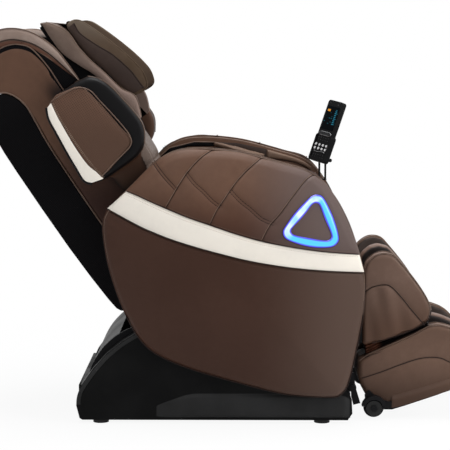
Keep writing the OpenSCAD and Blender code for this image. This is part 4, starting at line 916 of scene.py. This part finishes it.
class CHAIR_OT_arm_sides(Operator):
    """Builds the quilted cushion, the cream strip and the lower panel on each arm's side"""

    bl_idname = "chair.arm_sides"
    bl_label = "Arm sides"

    def execute(self, context):
        for name, s in SIDES:
            self.quilt(name, s, context.scene.chair_form.fineness)
            self.strip(name, s)
            self.panel(name, s)
        return {"FINISHED"}

    def quilt(self, name, s, fineness):
        def place(u, v):
            t = 11 * u
            p = across(QUILT_LOW, QUILT_TOP, u, v)
            p[:, 0] -= 72 * v * (1 - v) * smooth(1.2, 2.6, t) * smooth(10.4, 9.2, t)
            return on_arm(p, s, 0, quilt_side)
        skin("arm_quilt_" + name, fineness, fineness // 4, place, s * ARM_PLANE, "seat_unit", "quilt",
             nodes=["arm_quilt_" + name])
        for k, seam in enumerate(QUILT_SEAMS, 1):
            line = walk(seam, 4)
            trim("arm_seam_%d_%s" % (k, name), on_arm(line, s, 0.5, quilt_side), 0.9, "seat_unit",
                 "dark piping")
            # Pale cord beside each seam: painted highlight along the seam's edge
            trim("arm_seam_highlight_%d_%s" % (k, name), on_arm(line - beside(line) * 2.2, s, 0.6, quilt_side), 0.8,
                 "seat_unit", "seam thread and highlight")
        for k, tuck in enumerate(QUILT_CROSS, 1):
            line = walk(tuck, 4)
            for tag, shift in (("a", -3.8), ("b", 3.8)):
                trim("arm_tuck_%d%s_%s" % (k, tag, name),
                     on_arm(line + beside(line) * shift, s, 0.2, quilt_side), 1.0, "seat_unit", "thread")
        row = walk(QUILT_LOW, 4)[2:-2] + (0, 5.0)
        dress(sew("arm_stitches_" + name, [on_arm(row, s, 0.2, quilt_side)], 5.0, 4.0, 1.0),
              "seat_unit", "brown_leather", "seam thread and highlight")

    def strip(self, name, s):
        rows_at = (0.86, 0.95)

        def place(u, v):
            lift = 3.4 * swell(v, 5) - sum(0.7 * dip(v - row, 0.03) for row in rows_at)
            lift *= smooth(0.0, 0.02, u) * smooth(1.0, 0.985, u)
            return on_arm(across(STRIPE_LOW, QUILT_LOW, u, 0.035 + 0.965 * v), s, lift)
        skin("arm_stripe_" + name, 200, 26, place, s * ARM_PLANE, "seat_unit", "cream", "cream_leather",
             ["arm_stripe_" + name])
        t = np.linspace(0.15, 10.9, 160)
        low, top = along(STRIPE_LOW, t), along(QUILT_LOW, t)
        rows = [on_arm(low + (top - low) * share, s, 2.2) for share in rows_at]
        dress(sew("stripe_stitches_" + name, rows, 5.0, 3.6, 1.0), "seat_unit", "cream_leather", "pale thread")
        t = np.linspace(0.02, 10.98, 180)
        for tag, edge, lift, radius in (("stripe", STRIPE_LOW, 0.9, 1.0), ("quilt", QUILT_LOW, 0.6, 1.3)):
            trim("%s_piping_%s" % (tag, name), on_arm(along(edge, t), s, lift), radius, "seat_unit",
                 "dark piping")

    def panel(self, name, s):
        upper = along(STRIPE_LOW, np.linspace(10.7, 0.25, 60)) - (0, 1.5)
        lower = walk(PANEL_LOW, 6)
        edge = np.concatenate([[(380.5, 431)], upper, [(-326, 604)], lower[::-1]])
        edge = walk(edge, 6, curved=False)
        middle = np.array([30.0, 300.0])
        n = len(edge)

        def place(u, v):
            k = u * n
            i = np.floor(k).astype(int) % n
            p = edge[i] + (edge[(i + 1) % n] - edge[i]) * (k - np.floor(k))[:, None]
            q = middle + (p - middle) * v[:, None]
            x, z = q.T
            rim = np.minimum((1 - v) * np.linalg.norm(p - middle, axis=1), 30)
            roll = 4.5 * (1 - smooth(0, 9, rim)) + 3 * smooth(330, 300, z) * (1 - smooth(0, 16, rim))
            crease = 1.6 * np.sin((x + z) / 9) * dip(near(x, z, [(-322, 585), (-292, 574)]), 14)
            return on_arm(q, s, crease - roll)

        def back(co):
            y = s * MM * (304 + 26.2 * np.clip((co[:, 2] / MM - 260) / 40, 0, 1))
            return np.stack([co[:, 0], y, co[:, 2]], 1)
        skin("side_panel_" + name, n, 44, place, back, "seat_unit", "panel", nodes=["side_panel_" + name],
             join=True)
        trim("panel_piping_" + name, on_arm(lower, s, -3.5), 1.6, "seat_unit", "dark piping")


class CHAIR_OT_ring_lights(Operator):
    """Builds the lit three-cornered ring on each arm"""

    bl_idname = "chair.ring_lights"
    bl_label = "Ring lights"

    def execute(self, context):
        path = closed_curve(RING, 8)
        out = path - np.mean(RING, axis=0)
        out /= np.linalg.norm(out, axis=1, keepdims=True)
        n = len(path)
        width = 21
        for name, s in SIDES:
            def place(u, v):
                i = np.round(u * n).astype(int) % n
                p = path[i] + out[i] * (width * (v - 0.5))[:, None]
                return on_arm(p, s, 0.8 + 4.2 * swell(v, 3), quilt_side)
            obj = lay_grid("light_ring_" + name, n, 14, place, join=True)
            apply(obj, "SOLIDIFY", thickness=0.0012, offset=-1)
            outward(obj)
            dress(obj, "seat_unit", "ring_light", "ring", ["light_ring_" + name], 60)
            trim("ring_bezel_" + name, on_arm(path + out * 11.2, s, 0.6, quilt_side), 1.3, "seat_unit",
                 "plastic", "dark_plastic", closed=True)
        return {"FINISHED"}


class CHAIR_OT_arm_cores(Operator):
    """Builds the padded arm bodies with their forearm channels, linings and hand pads"""

    bl_idname = "chair.arm_cores"
    bl_label = "Arm cores"

    def execute(self, context):
        form = context.scene.chair_form
        ring = closed_curve(ARM, 8)
        ring = ring[ring[:, 1] > 345]
        order = np.argsort(np.arctan2(ring[:, 0] - 27, -(ring[:, 1] - 300)) % (2 * math.pi))
        ring = ARM_MIDDLE + (ring[order] - ARM_MIDDLE) * 0.986
        for name, s in SIDES:
            obj = copy_node("arm_core_" + name, "arm_core_soft_" + name)
            apply(obj, "BEVEL", width=0.011, segments=4, limit_method="ANGLE", angle_limit=math.radians(42),
                  use_clamp_overlap=True)
            dress(obj, "seat_unit", "brown_leather", "brown", ["arm_core_" + name], 40)
            for tag, y, up in (("inner", 251.0, 0.6), ("outer", 331.0, 2.4)):
                trim("arm_%s_piping_%s" % (tag, name), on_plane(ring + (0, up), s * y), 1.8, "seat_unit")
            self.lining(name, s)
            self.cap(name, s)
            self.hand_pad(name, s, form)
            self.channel(name, s)
        return {"FINISHED"}

    def lining(self, name, s):
        """Gathered black lining on the arm's inner face, above and behind the forearm channel"""
        def top_at(x):
            return np.interp(x, [-236, -178, -100, -40], [686, 738, 757, 756])

        def place(u, v):
            x = -236 + 196 * u
            low = np.interp(x, [-236, -190, -184, -120, -40], [645, 660, 713, 743, 743])
            z = low + (top_at(x) - low) * v
            pleat = 1.6 * np.sin(x / 7.0 + 1.5 * np.sin(z / 21)) * np.sin(math.pi * v) ** 0.5
            y = ARM_INNER - 5.5 * (np.sin(math.pi * u) * np.sin(math.pi * v)) ** 0.4 - pleat
            return np.stack([x, s * np.minimum(y, ARM_INNER), z], 1)
        # Its black is partly the lining's own colour and partly painted shade
        skin("arm_lining_" + name, 90, 40, place, s * INNER_PLANE, "seat_unit", "mesh", "black_fabric")
        x = np.linspace(-236, -40, 40)
        edge = on_plane(np.stack([x, top_at(x)], 1), s * (ARM_INNER - 1.6))
        trim("lining_piping_" + name, edge, 1.8, "seat_unit")

    def cap(self, name, s):
        """Puffed leather cap at the front of the inner face, and the sunk strip behind it"""
        def puffed(u, v):
            rise = (swell(v, 3) * smooth(0, 0.05, u) * smooth(1, 0.94, u)) ** 0.6
            crease = 0.8 * np.sin(u * 46 + 2 * v) * smooth(0.75, 1.0, u)
            y = ARM_INNER + 0.1 - (7.5 + crease) * rise
            return on_plane(across(CAP_LOW, CAP_TOP, u, v), s * y)
        skin("arm_cap_" + name, 110, 20, puffed, s * (INNER_PLANE + 0.1), "seat_unit", "soft", "soft_leather")
        edge = on_plane(walk(CAP_LOW, 5), s * (ARM_INNER - 1.2))
        trim("cap_piping_" + name, edge, 1.5, "seat_unit", "dark piping")

        def sunk(u, v):
            x = -44 + 164 * u
            top = np.interp(x, [-44, 30, 120], [757, 753, 735])
            low = 752 - ROOF_SLOPE * (x + 44)
            return np.stack([x, s * (ARM_INNER - 1.2 * np.sin(math.pi * v) ** 0.5), low + (top - low) * v], 1)
        # The sunk strip's dark leather is painted shade in the recess under the arm's top
        skin("arm_gusset_" + name, 60, 8, sunk, s * INNER_PLANE, "seat_unit", "deep")

    def hand_pad(self, name, s, form):
        """Loose pad along the roof of the forearm channel"""
        obj = soften("arm_pad_" + name, "hand_pad_" + name, 0.0028, 4)
        blow_up(obj, form.pressure, 2.5, 12)

        def wrinkle(x, y, z, normal):
            up = z - 731 + ROOF_SLOPE * (x - 36)
            inside = np.clip(1 - ((x - 36) / 82) ** 4, 0, 1) * np.clip(1 - (up / 14) ** 2, 0, 1)
            fold = np.sin(up / 1.9 + 1.1 * np.sin(x / 23)) + 0.5 * np.sin(x / 8.5 + up / 3)
            return normal * (form.wrinkle * 0.4 * fold * inside)[:, None]
        push(obj, wrinkle)
        dress(obj, "seat_unit", "soft_leather", "soft", ["arm_pad_" + name], 60)
        edge = on_plane(walk(PAD_TOP, 5), s * (ARM_INNER - 2))
        trim("pad_piping_" + name, edge, 1.4, "seat_unit", "dark piping")

    def channel(self, name, s):
        """Black lining of the forearm channel: its far wall, a black sheet of painted shade, and the air cells
        on floor and roof
        """
        roof_x, roof_z = np.array(CHANNEL_ROOF, float).T

        def wall(u, v):
            x = -184 + 298 * u
            return on_plane(np.stack([x, 601 + (np.interp(x, roof_x, roof_z) - 602) * v], 1), s * 320.0)
        skin("channel_wall_" + name, 60, 20, wall, s * 320.8, "seat_unit", "mesh", "black_fabric")
        for tag, x0, length, z0, up in (("floor", -183, 296, 600.4, 1), ("roof", -118, 106, 739.6, -1)):
            def cells(u, v):
                edge = (swell(u, 8) * swell(v, 6)) ** 0.5
                cell = 4.4 * edge * (1 - 0.45 * np.abs(np.sin(3 * math.pi * u + math.pi / 2)) ** 12)
                return np.stack([x0 + length * u, s * (246 + 73 * v), z0 + up * cell], 1)

            def back(co):
                return np.stack([co[:, 0], co[:, 1], np.full(len(co), z0 * MM)], 1)
            skin("channel_%s_%s" % (tag, name), 60, 16, cells, back, "seat_unit", "mesh", "black_fabric")


class CHAIR_OT_seat(Operator):
    """Builds the seat cushion"""

    bl_idname = "chair.seat"
    bl_label = "Seat cushion"

    def execute(self, context):
        form = context.scene.chair_form
        obj = soften("seat_cushion", "seat_cushion_soft", 0.006, 6)
        blow_up(obj, form.pressure, 8.0, 14)

        def seam(x, y, z, normal):
            top = smooth(0.2, 0.8, normal[:, 2])
            cut = 4.0 * dip(x - 215, 3.5) + 4.0 * dip(np.abs(y) - 160, 3.5) + 2.0 * dip(x + 40, 3.5)
            fold = form.wrinkle * 0.4 * np.sin(y / 9 + 2 * np.sin(x / 37)) * dip(x - 205, 26)
            return -normal * ((cut + fold) * top)[:, None]
        push(obj, seam)
        dress(obj, "seat_unit", "brown_leather", "brown", ["seat_cushion"], 60)
        return {"FINISHED"}


class CHAIR_OT_backrest(Operator):
    """Builds the cover, bolsters, hood, pad and wings of the back"""

    bl_idname = "chair.backrest"
    bl_label = "Backrest"

    def execute(self, context):
        form = context.scene.chair_form
        cover = copy_node("back_cover", "back_cover_soft")
        apply(cover, "BEVEL", width=0.004, segments=3, limit_method="ANGLE", angle_limit=math.radians(50))
        dress(cover, "backrest", "black_fabric", "mesh", ["back_cover"], 35)
        hood = soften("head_hood", "head_hood_soft", 0.006, 6)
        dress(hood, "backrest", "brown_leather", "soft", ["head_hood"], 60)
        pad = soften("back_pad", "back_pad_soft", 0.0055, 3)
        blow_up(pad, form.pressure, 4.0, 10)

        def channels(x, y, z, normal):
            n, u = to_back(x, z)
            front = smooth(250, 262, n)
            cut = sum(2.6 * dip(u - row, 3.2) for row in (250, 360, 470, 580, 690))
            cut += 2.4 * dip(np.abs(y) - 144, 3.0)
            fold = 0.35 * form.wrinkle * np.sin(u / 6.5 + 3 * np.sin(y / 40)) * smooth(150, 190, np.abs(y))
            set_back = 14.0 * smooth(520, 478, u) * smooth(240, 262, n)
            return -normal * (cut * front + fold)[:, None] - set_back[:, None] * BACK_OUT
        push(pad, channels)
        dress(pad, "backrest", "soft_leather", "taupe", ["back_pad"], 60)

        def lining(u, v):
            p = along(HOOD_FRONT, 4 * v)
            return back_point(p[:, 0] + 0.5, p[:, 1], 226 * (2 * u - 1))
        skin("hood_lining", 60, 30, lining, behind, "backrest", "mesh", "black_fabric")
        for name, s in SIDES:
            side = soften("back_side_" + name, "back_side_soft_" + name, 0.0055, 8)
            dress(side, "backrest", "brown_leather", "bolster", ["back_side_" + name], 60)
            self.bands(name, s)
            self.wing(name, s)
            for tag, path, step, n, y, radius, finish in (
                    ("bolster", DOME, 6, 0, 231.5, 1.7, "piping"),
                    ("rear", REAR_SEAM, 6, -1, 232.0, 2.2, "piping"),
                    ("pad_roll", PAD_ROLL_OUT, 5, 0, 221.0, 1.5, "piping"),
                    ("hood_rim", HOOD_RIM, 6, 0, 230.6, 1.5, "piping"),
                    ("hood_leaf", HOOD_LEAF, 6, 0, 230.6, 1.5, "dark piping"),
                    ("wing_edge", WING_SEAM, 5, -0.6, 297.0, 1.8, "piping")):
                line = walk(path, step) + (n, 0)
                trim("%s_piping_%s" % (tag, name), back_point(*line.T, s * y), radius, "backrest", finish)
        return {"FINISHED"}

    def bands(self, name, s):
        """Puffed bands between two lines of the back's plane, each on a face y0"""
        gap = [(232, u) for _, u in PAD_ROLL_IN]
        for tag, low, high, y0, crown, finish, slot, steps, rows, deep in (
                ("bolster_band", DOME_INNER, DOME, 229.5, 2.4, "mesh", "black_fabric", 120, 10, 3.0),
                ("pad_roll", PAD_ROLL_IN, PAD_ROLL_OUT, 221.5, 4.0, "roll", "soft_leather", 90, 14, 24.0),
                # Black sheet on the pad's side: painted shade in the gap between pad and hood
                ("pad_shade", gap, PAD_ROLL_IN, 213.0, 0.5, "mesh", "black_fabric", 60, 6, 2.0),
                ("hood_gap", HOOD_GAP_IN, HOOD_GAP_OUT, 230.4, 0.5, "mesh", "black_fabric", 60, 6, 2.0),
                ("hood_leaf", HOOD_LEAF, HOOD_RIM, 229.0, 4.5, "leaf", "soft_leather", 120, 10, 3.0),
                ("hood_slip", HOOD_SLIP, HOOD_LEAF, 228.5, 2.2, "russet", "brown_leather", 120, 10, 3.0)):
            def place(u, v):
                t = u * (len(low) - 1)
                width = np.linalg.norm(along(high, t) - along(low, t), axis=1)
                lift = crown * swell(v, 2.5) * np.minimum(1, width / 14)
                return back_point(*across(low, high, u, v).T, s * (y0 + lift))
            skin("%s_%s" % (tag, name), steps, rows, place, s * (y0 - deep), "backrest", finish, slot)

    def wing(self, name, s):
        body = soften("shoulder_wing_" + name, "shoulder_wing_soft_" + name, 0.0055, 8)
        dress(body, "backrest", "black_fabric", "wing", ["shoulder_wing_" + name], 60)
        face = soften("shoulder_face_" + name, "shoulder_face_soft_" + name, 0.004, 5)
        dress(face, "backrest", "perforated_leather", "punched", ["shoulder_face_" + name], 60)

        def place(u, v):
            y = WING_FACE + 1.4 + 1.6 * swell(v, 4)
            return on_plane(across(WING_STRIP_OUT, WING_STRIP_IN, u, v), s * y)
        behind_strip = WING_FACE - 8.2
        skin("wing_strip_" + name, 90, 12, place, s * behind_strip, "backrest", "cream", "cream_leather")
        # Black cord along the strip's outer edge: painted shade in the gap between wing and bolster
        line = walk(WING_STRIP_OUT, 5)
        trim("wing_shade_cord_" + name, on_plane(line - beside(line) * 2.6, s * (behind_strip + 1)), 4.6,
             "backrest", "black shade", "black_fabric")
        line = walk(WING_STRIP_IN, 4)
        rows = [on_plane(line + beside(line) * k, s * (WING_FACE + 3)) for k in (3, 6)]
        dress(sew("wing_stitches_" + name, rows, 5.0, 3.6, 1.0), "backrest", "brown_leather", "pale thread")
        rim = shrunk(closed_curve(WING_RIM, 6), 0.955)
        trim("wing_piping_" + name, on_plane(rim, s * WING_FACE), 1.7, "backrest", closed=True)


class CHAIR_OT_pillow(Operator):
    """Builds the head pillow and the flap that carries it"""

    bl_idname = "chair.pillow"
    bl_label = "Head pillow"

    def execute(self, context):
        self.cushion(context.scene.chair_form.wrinkle)
        self.flap()
        for name, s in SIDES:
            self.side(name, s)
        return {"FINISHED"}

    def cushion(self, wrinkle):
        """The boxy cushion, lofted across the chair: stations hold y and the outline's size there"""
        outline = closed_curve(PILLOW, 8)
        middle = outline.mean(axis=0)
        n = len(outline)
        half = [(-PILLOW_END, k) for k in (0.0, 0.35, 0.7, 0.9)]
        half += [(-189.3, 0.955), (-187, 0.983), (-183, 0.996), (-176, 1.0), (-150, 1.004), (-110, 1.0),
                 (-60, 0.996), (-20, 0.994)]
        stations = np.array(half + [(-y, k) for y, k in half[::-1]])

        def place(u, v):
            p = outline[np.round(u * n).astype(int) % n]
            y, k = stations[np.round(v * (len(stations) - 1)).astype(int)].T
            q = middle + (p - middle) * k[:, None]
            front = smooth(330, 372, q[:, 0] + 0.2 * (q[:, 1] - 680)) * (1 - (y / PILLOW_END) ** 2)
            fold = np.sin(q[:, 1] / 5.5 + 2 * np.sin(y / 37)) * smooth(120, 176, np.abs(y)) * (k > 0.9)
            return back_point(q[:, 0] - 5 * front + 0.35 * wrinkle * fold, q[:, 1], y)
        obj = lay_grid("head_pillow_soft", n, len(stations) - 1, place, join=True)
        outward(obj)
        apply(obj, "SUBSURF", levels=1, render_levels=1)
        dress(obj, "pillow", "soft_leather", "pillow", ["head_pillow"], 60)

    def flap(self):
        """Short leather flap from the hood to the pillow's axis, with a hem along its end"""
        def place(u, v):
            return back_point(266 + 33 * v, 839 - 26 * v, 150 * (2 * u - 1))
        skin("pillow_flap", 60, 8, place, behind, "backrest", "taupe", "soft_leather")
        hem = back_point(np.full(40, 300.0), np.full(40, 813.0), np.linspace(-152, 152, 40))
        trim("pillow_hem", hem, 7.5, "backrest", "pillow", "soft_leather")

    def side(self, name, s):
        def place(u, v):
            puff = 2.4 * (np.sin(math.pi * u) * np.sin(math.pi * v)) ** 0.5
            return back_point(*across(PILLOW_BACK, PILLOW_CREASE, u, v).T, s * (PILLOW_END + 0.3 + puff))
        # Gusset dark partly from its own leather and partly from painted shade
        skin("pillow_gusset_" + name, 60, 12, place, s * (PILLOW_END - 1.5), "pillow", "deep",
             "soft_leather")
        crease = back_point(*walk(PILLOW_CREASE, 5).T, s * (PILLOW_END + 0.6))
        trim("pillow_piping_" + name, crease, 1.6, "pillow", "dark piping", "soft_leather")
        edge = back_point(*shrunk(walk(PILLOW_EDGE, 6), 0.985).T, s * (PILLOW_END - 2))
        trim("pillow_edge_" + name, edge, 1.4, "pillow", "pillow", "soft_leather")


class CHAIR_OT_leg_rest(Operator):
    """Builds the calf and foot cushions, their seams and the folded gusset between them"""

    bl_idname = "chair.leg_rest"
    bl_label = "Leg rest"

    def execute(self, context):
        wrinkle = context.scene.chair_form.wrinkle
        for group, seam, rim in (("calf", CALF_SEAM, CALF_RIM), ("foot", FOOT_SEAM, FOOT_RIM)):
            body = group + "_rest"
            line = walk(seam, 5)

            def sewn(x, y, z, normal):
                side = smooth(CUSHION_OUT - 11, CUSHION_OUT, np.abs(y))
                d = near(x, z, line)
                lower = smooth(0, 14, np.interp(x, line[:, 0], line[:, 1]) - z) * (group == "calf")
                cut = 2.6 * dip(d, 3.2) + 1.4 * dip(d, 14)
                fold = wrinkle * (np.sin(x / 13.0 + 0.8) + 0.5 * np.sin(x / 7.3 + z / 30)) * lower
                return -normal * ((cut + fold * 0.9) * side)[:, None]
            for name, s in SIDES:
                obj = soften("%s_pad_%s" % (group, name), "%s_pad_soft_%s" % (group, name), 0.005, 7)
                push(obj, sewn)
                dress(obj, body, "brown_leather", group, ["%s_pad_%s" % (group, name)], 60)
                trim("%s_seam_%s" % (group, name), on_plane(line, s * (CUSHION_OUT + 1.6)), 1.3, body,
                     "dark piping")
                self.rim(group, name, s, walk(rim, 6))
            obj = soften(group + "_divider", group + "_divider_soft", 0.005, 7)
            dress(obj, body, "brown_leather", "ridge", [group + "_divider"], 60)
        for name, s in SIDES:
            edge = on_plane(walk(FOOT_EDGE, 5), s * (CUSHION_OUT + 2.6))
            trim("foot_edge_" + name, edge, 1.0, "foot_rest", "dark piping")
            self.flap(name, s)
        self.gusset()
        return {"FINISHED"}

    def rim(self, group, name, s, edge):
        """Piping round both edges of a cushion; the calf's outer one turns dark below its front"""
        body = group + "_rest"
        inner = on_plane(shrunk(edge, 0.992), s * CUSHION_IN)
        outer = on_plane(shrunk(edge, 0.985), s * CUSHION_OUT)
        trim("%s_inner_piping_%s" % (group, name), inner, 1.6, body)
        if group == "calf":
            turn = int(np.argmax(outer[:, 0]))
            trim("calf_low_piping_" + name, outer[turn:], 1.6, body, "dark piping")
            outer = outer[:turn + 1]
        trim("%s_outer_piping_%s" % (group, name), outer, 1.6, body)

    def flap(self, name, s):
        """Leather flap sewn over the lower side of the foot cushion"""
        def place(u, v):
            rise = (swell(v, 3) * smooth(0, 0.06, u) * smooth(1, 0.94, u)) ** 0.6
            return on_plane(across(FOOT_FLAP_LOW, FOOT_FLAP_TOP, u, v),
                            s * (236.3 - 5.8 * smooth(0.62, 1, v) + 1.4 * rise))
        skin("foot_flap_" + name, 90, 14, place, lambda co: co - (0, s * 1.8 * MM, 0), "foot_rest", "foot")

    def gusset(self):
        """Folded skirt that closes the gap between the calf rest and the foot rest"""
        def place(u, v):
            fold = np.abs(((v * 4) % 1) * 2 - 1)
            side = u * 4
            ahead = np.interp(side, range(5), (0, 1, 1, 0, 0))
            out = np.interp(side, range(5), (-1, -1, 1, 1, -1))
            rear_x, rear_z = 392 + 6 * v + 7 * fold, 216 - 32 * v
            front_x, front_z = 570 + 3 * v - 9 * fold, 283 - 21 * v
            ripple = 1.6 * np.sin(ahead * 23) * np.sin(math.pi * v)
            return np.stack([rear_x + (front_x - rear_x) * ahead,
                             out * (214 - 9 * fold) + ripple * np.sign(out),
                             rear_z + (front_z - rear_z) * ahead], 1)
        obj = lay_grid("leg_gusset", 160, 24, place, join=True)
        apply(obj, "SOLIDIFY", thickness=0.0015, offset=-1)
        outward(obj)
        dress(obj, None, "brown_leather", "folds", (), 50)
        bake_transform(obj)


class CHAIR_OT_base(Operator):
    """Builds the moulded base covers with their rims and ledges"""

    bl_idname = "chair.base"
    bl_label = "Base covers"

    def execute(self, context):
        for name, s in SIDES:
            obj = copy_node("base_cover_" + name, "base_cover_soft_" + name)
            apply(obj, "BEVEL", width=0.006, segments=4, limit_method="ANGLE", angle_limit=math.radians(38))
            dress(obj, "base", "dark_plastic", "cover", ["base_cover_" + name], 35)

            def place(u, v):
                x = -215 + 563 * u
                top = 56 + 32 * smooth(-215, -80, x) - 10 * smooth(300, 348, x)
                lip = smooth(1.0, 0.78, v) * smooth(0.0, 0.1, v)
                ends = smooth(0, 0.25, u) * smooth(1.0, 0.97, u)
                return np.stack([x, s * (299.6 + 6.2 * ends * lip), 18 + (top - 18) * v], 1)
            # Ledge and rim in lighter plastic: painted highlight
            skin("base_ledge_" + name, 120, 22, place, s * 298, "base", "ledge", "dark_plastic")
            trim("base_rim_" + name, on_plane(walk(BASE_RIM, 5) + (5.5, -5.5), s * 297.5), 6.5, "base",
                 "ledge", "dark_plastic")
        return {"FINISHED"}


def handset_axes():
    """The handset's own axes: across, into its face and up along it"""
    yaw, lean, roll = math.radians(50), math.radians(18), math.radians(8)
    flat = np.array([math.cos(yaw), -math.sin(yaw), 0])
    up = np.array([math.sin(lean) * math.sin(yaw), math.sin(lean) * math.cos(yaw), math.cos(lean)])
    ex = flat * math.cos(roll) - up * math.sin(roll)
    ez = flat * math.sin(roll) + up * math.cos(roll)
    return ex, np.cross(ez, ex), ez


class CHAIR_OT_handset(Operator):
    """Builds the handset's display and the marks on its face"""

    bl_idname = "chair.handset"
    bl_label = "Handset"

    def execute(self, context):
        ex, ey, ez = handset_axes()
        local = points_of(frame["nodes"]["remote_screen"]) @ np.stack([ex, ey, ez], 1)
        lo, hi = local.min(axis=0), local.max(axis=0)

        def place(u, v):
            edge = np.clip(np.minimum(np.minimum(u, 1 - u), np.minimum(v, 1 - v)) / 0.03, 0, 1)
            a = lo[0] + (hi[0] - lo[0]) * u
            b = lo[2] + (hi[2] - lo[2]) * v
            c = lo[1] - 0.0003 * edge
            return (a[:, None] * ex + c[:, None] * ey + b[:, None] * ez) / MM
        skin("handset_display", 24, 36, place, lambda co: co + ey * 0.0015, "handset", "screen",
             "screen_glass", ["remote_screen"], angle=30)
        centre, face, foot = (lo[0] + hi[0]) / 2 / MM, lo[1] / MM, lo[2] / MM - 98.2

        def on_face(points):
            p = np.asarray(points, float)
            return (centre + p[:, :1]) * ex + face * ey + (foot + p[:, 1:2]) * ez

        def boxy(value, power):
            return math.copysign(abs(value) ** power, value)
        pill = [(27 * boxy(math.cos(a), 0.4), 85.5 + 5.6 * boxy(math.sin(a), 0.7))
                for a in np.linspace(0, 2 * math.pi, 40, endpoint=False)]
        trim("handset_pill_rim", on_face(pill), 0.6, "handset", "silver", "silver_key", closed=True)
        wave = [(x, 28 + 1.6 * math.sin(x / 7)) for x in np.linspace(-25, 25, 30)]
        trim("handset_wave", on_face(wave), 0.5, "handset", "silver", "silver_key")
        marks = [[(x - 2.2, z), (x + 2.2, z)] for z in (72, 64, 18, 10) for x in (-22, -11, 0, 11, 22)]
        marks += [[(-20, 179), (-20, 183)], [(11, 179), (17, 179)]]
        dress(sew("handset_marks", [on_face(mark) for mark in marks], 9.0, 4.2, 1.4), "handset",
              "silver_key", "grey")
        return {"FINISHED"}


class CHAIR_OT_stage(Operator):
    """Builds the floor, the lamps and the camera"""

    bl_idname = "chair.stage"
    bl_label = "Stage"

    def execute(self, context):
        scene = context.scene
        scene.view_settings.view_transform = "Standard"
        bpy.ops.object.select_all(action="DESELECT")
        bpy.ops.mesh.primitive_grid_add(x_subdivisions=4, y_subdivisions=4, size=30)
        floor = context.object
        floor.name = "floor"
        floor.data.materials.append(self.white_floor(tuple(scene.chair_look.floor)))
        for name, place, height, size, power in (
                ("key", (-1.2, -3.2, 3.6), 0.5, 2.6, 40), ("front", (3.4, -1.6, 2.2), 0.5, 2.2, 85),
                ("top", (0.2, 0.2, 4.2), 0.5, 3.0, 160), ("fill", (-3.4, -1.2, 1.6), 0.6, 2.4, 8)):
            self.lamp(name, place, height, size, power)
        self.sky(scene)
        self.camera(context)
        return {"FINISHED"}

    def sky(self, scene):
        """Dim blue-white light all round, seen as plain white"""
        scene.world = bpy.data.worlds.new("Studio")
        t = Tree(scene.world)
        plain = t.node("ShaderNodeBackground", Color=(0.9, 0.93, 1.0), Strength=0.26)
        white = t.node("ShaderNodeBackground", Color=(1, 1, 1))
        mix = t.node("ShaderNodeMixShader", i0=t.seen(), i1=plain, i2=white)
        connect(t.tree, t.tree.nodes.new("ShaderNodeOutputWorld").inputs[0], mix)

    def camera(self, context):
        camera = bpy.data.cameras.new("camera")
        camera.sensor_width = 36
        camera.lens = 137.9
        eye = self.aimed("camera", camera, (0.0426, -5.0322, 1.0722), (-0.0016, -0.33, 0.5628))
        context.scene.camera = eye

    def aimed(self, name, data, place, aim):
        """A lamp or camera at a place, turned to its aim"""
        obj = bpy.data.objects.new(name, data)
        bpy.context.collection.objects.link(obj)
        obj.location = place
        obj.rotation_euler = (Vector(aim) - Vector(place)).to_track_quat("-Z", "Y").to_euler()
        return obj

    def white_floor(self, colour):
        """Pale floor that the camera sees as white, with the object's shadow kept"""
        f = Finish("Floor", base_color=colour, roughness=0.8)
        away = f.node("ShaderNodeVectorMath", {"operation": "LENGTH"}, "Value", i0=f.place())
        share = f.seen() * f.between(away, 0.8, 1.9, 0.92, 1.0)
        mix = f.node("ShaderNodeMixShader", i0=share, i1=Term(f.tree, f.shader.outputs[0]),
                     i2=f.node("ShaderNodeEmission", Strength=1.0))
        connect(f.tree, f.out, mix)
        return f.material

    def lamp(self, name, place, height, size, power):
        """Round soft lamp, turned to a point of the middle line at that height"""
        light = bpy.data.lights.new(name, "AREA")
        light.shape = "DISK"
        light.size = size
        light.energy = power
        self.aimed(name, light, place, (0, 0, height))


PIECES = (CHAIR_OT_hardware, CHAIR_OT_arm_sides, CHAIR_OT_ring_lights, CHAIR_OT_arm_cores, CHAIR_OT_seat,
          CHAIR_OT_backrest, CHAIR_OT_pillow, CHAIR_OT_leg_rest, CHAIR_OT_base, CHAIR_OT_handset,
          CHAIR_OT_stage)


class CHAIR_PT_build(Panel):
    """Lists the chair's pieces in the sidebar"""

    bl_idname = "CHAIR_PT_build"
    bl_label = "Massage Chair"
    bl_space_type = "VIEW_3D"
    bl_region_type = "UI"
    bl_category = "Chair"

    def draw(self, context):
        for group in (context.scene.chair_form, context.scene.chair_look):
            for key in group.__annotations__:
                self.layout.prop(group, key)
        for piece in PIECES:
            self.layout.operator(piece.bl_idname)


CLASSES = (ChairForm, ChairLook) + PIECES + (CHAIR_PT_build,)


def register():
    for cls in CLASSES:
        bpy.utils.register_class(cls)
    bpy.types.Scene.chair_form = PointerProperty(type=ChairForm)
    bpy.types.Scene.chair_look = PointerProperty(type=ChairLook)


def unregister():
    del bpy.types.Scene.chair_look
    del bpy.types.Scene.chair_form
    for cls in reversed(CLASSES):
        bpy.utils.unregister_class(cls)


def main():
    """Builds the chair piece by piece"""
    register()
    for piece in PIECES:
        group, name = piece.bl_idname.split(".")
        getattr(getattr(bpy.ops, group), name)()


if __name__ == "__main__":
    main()
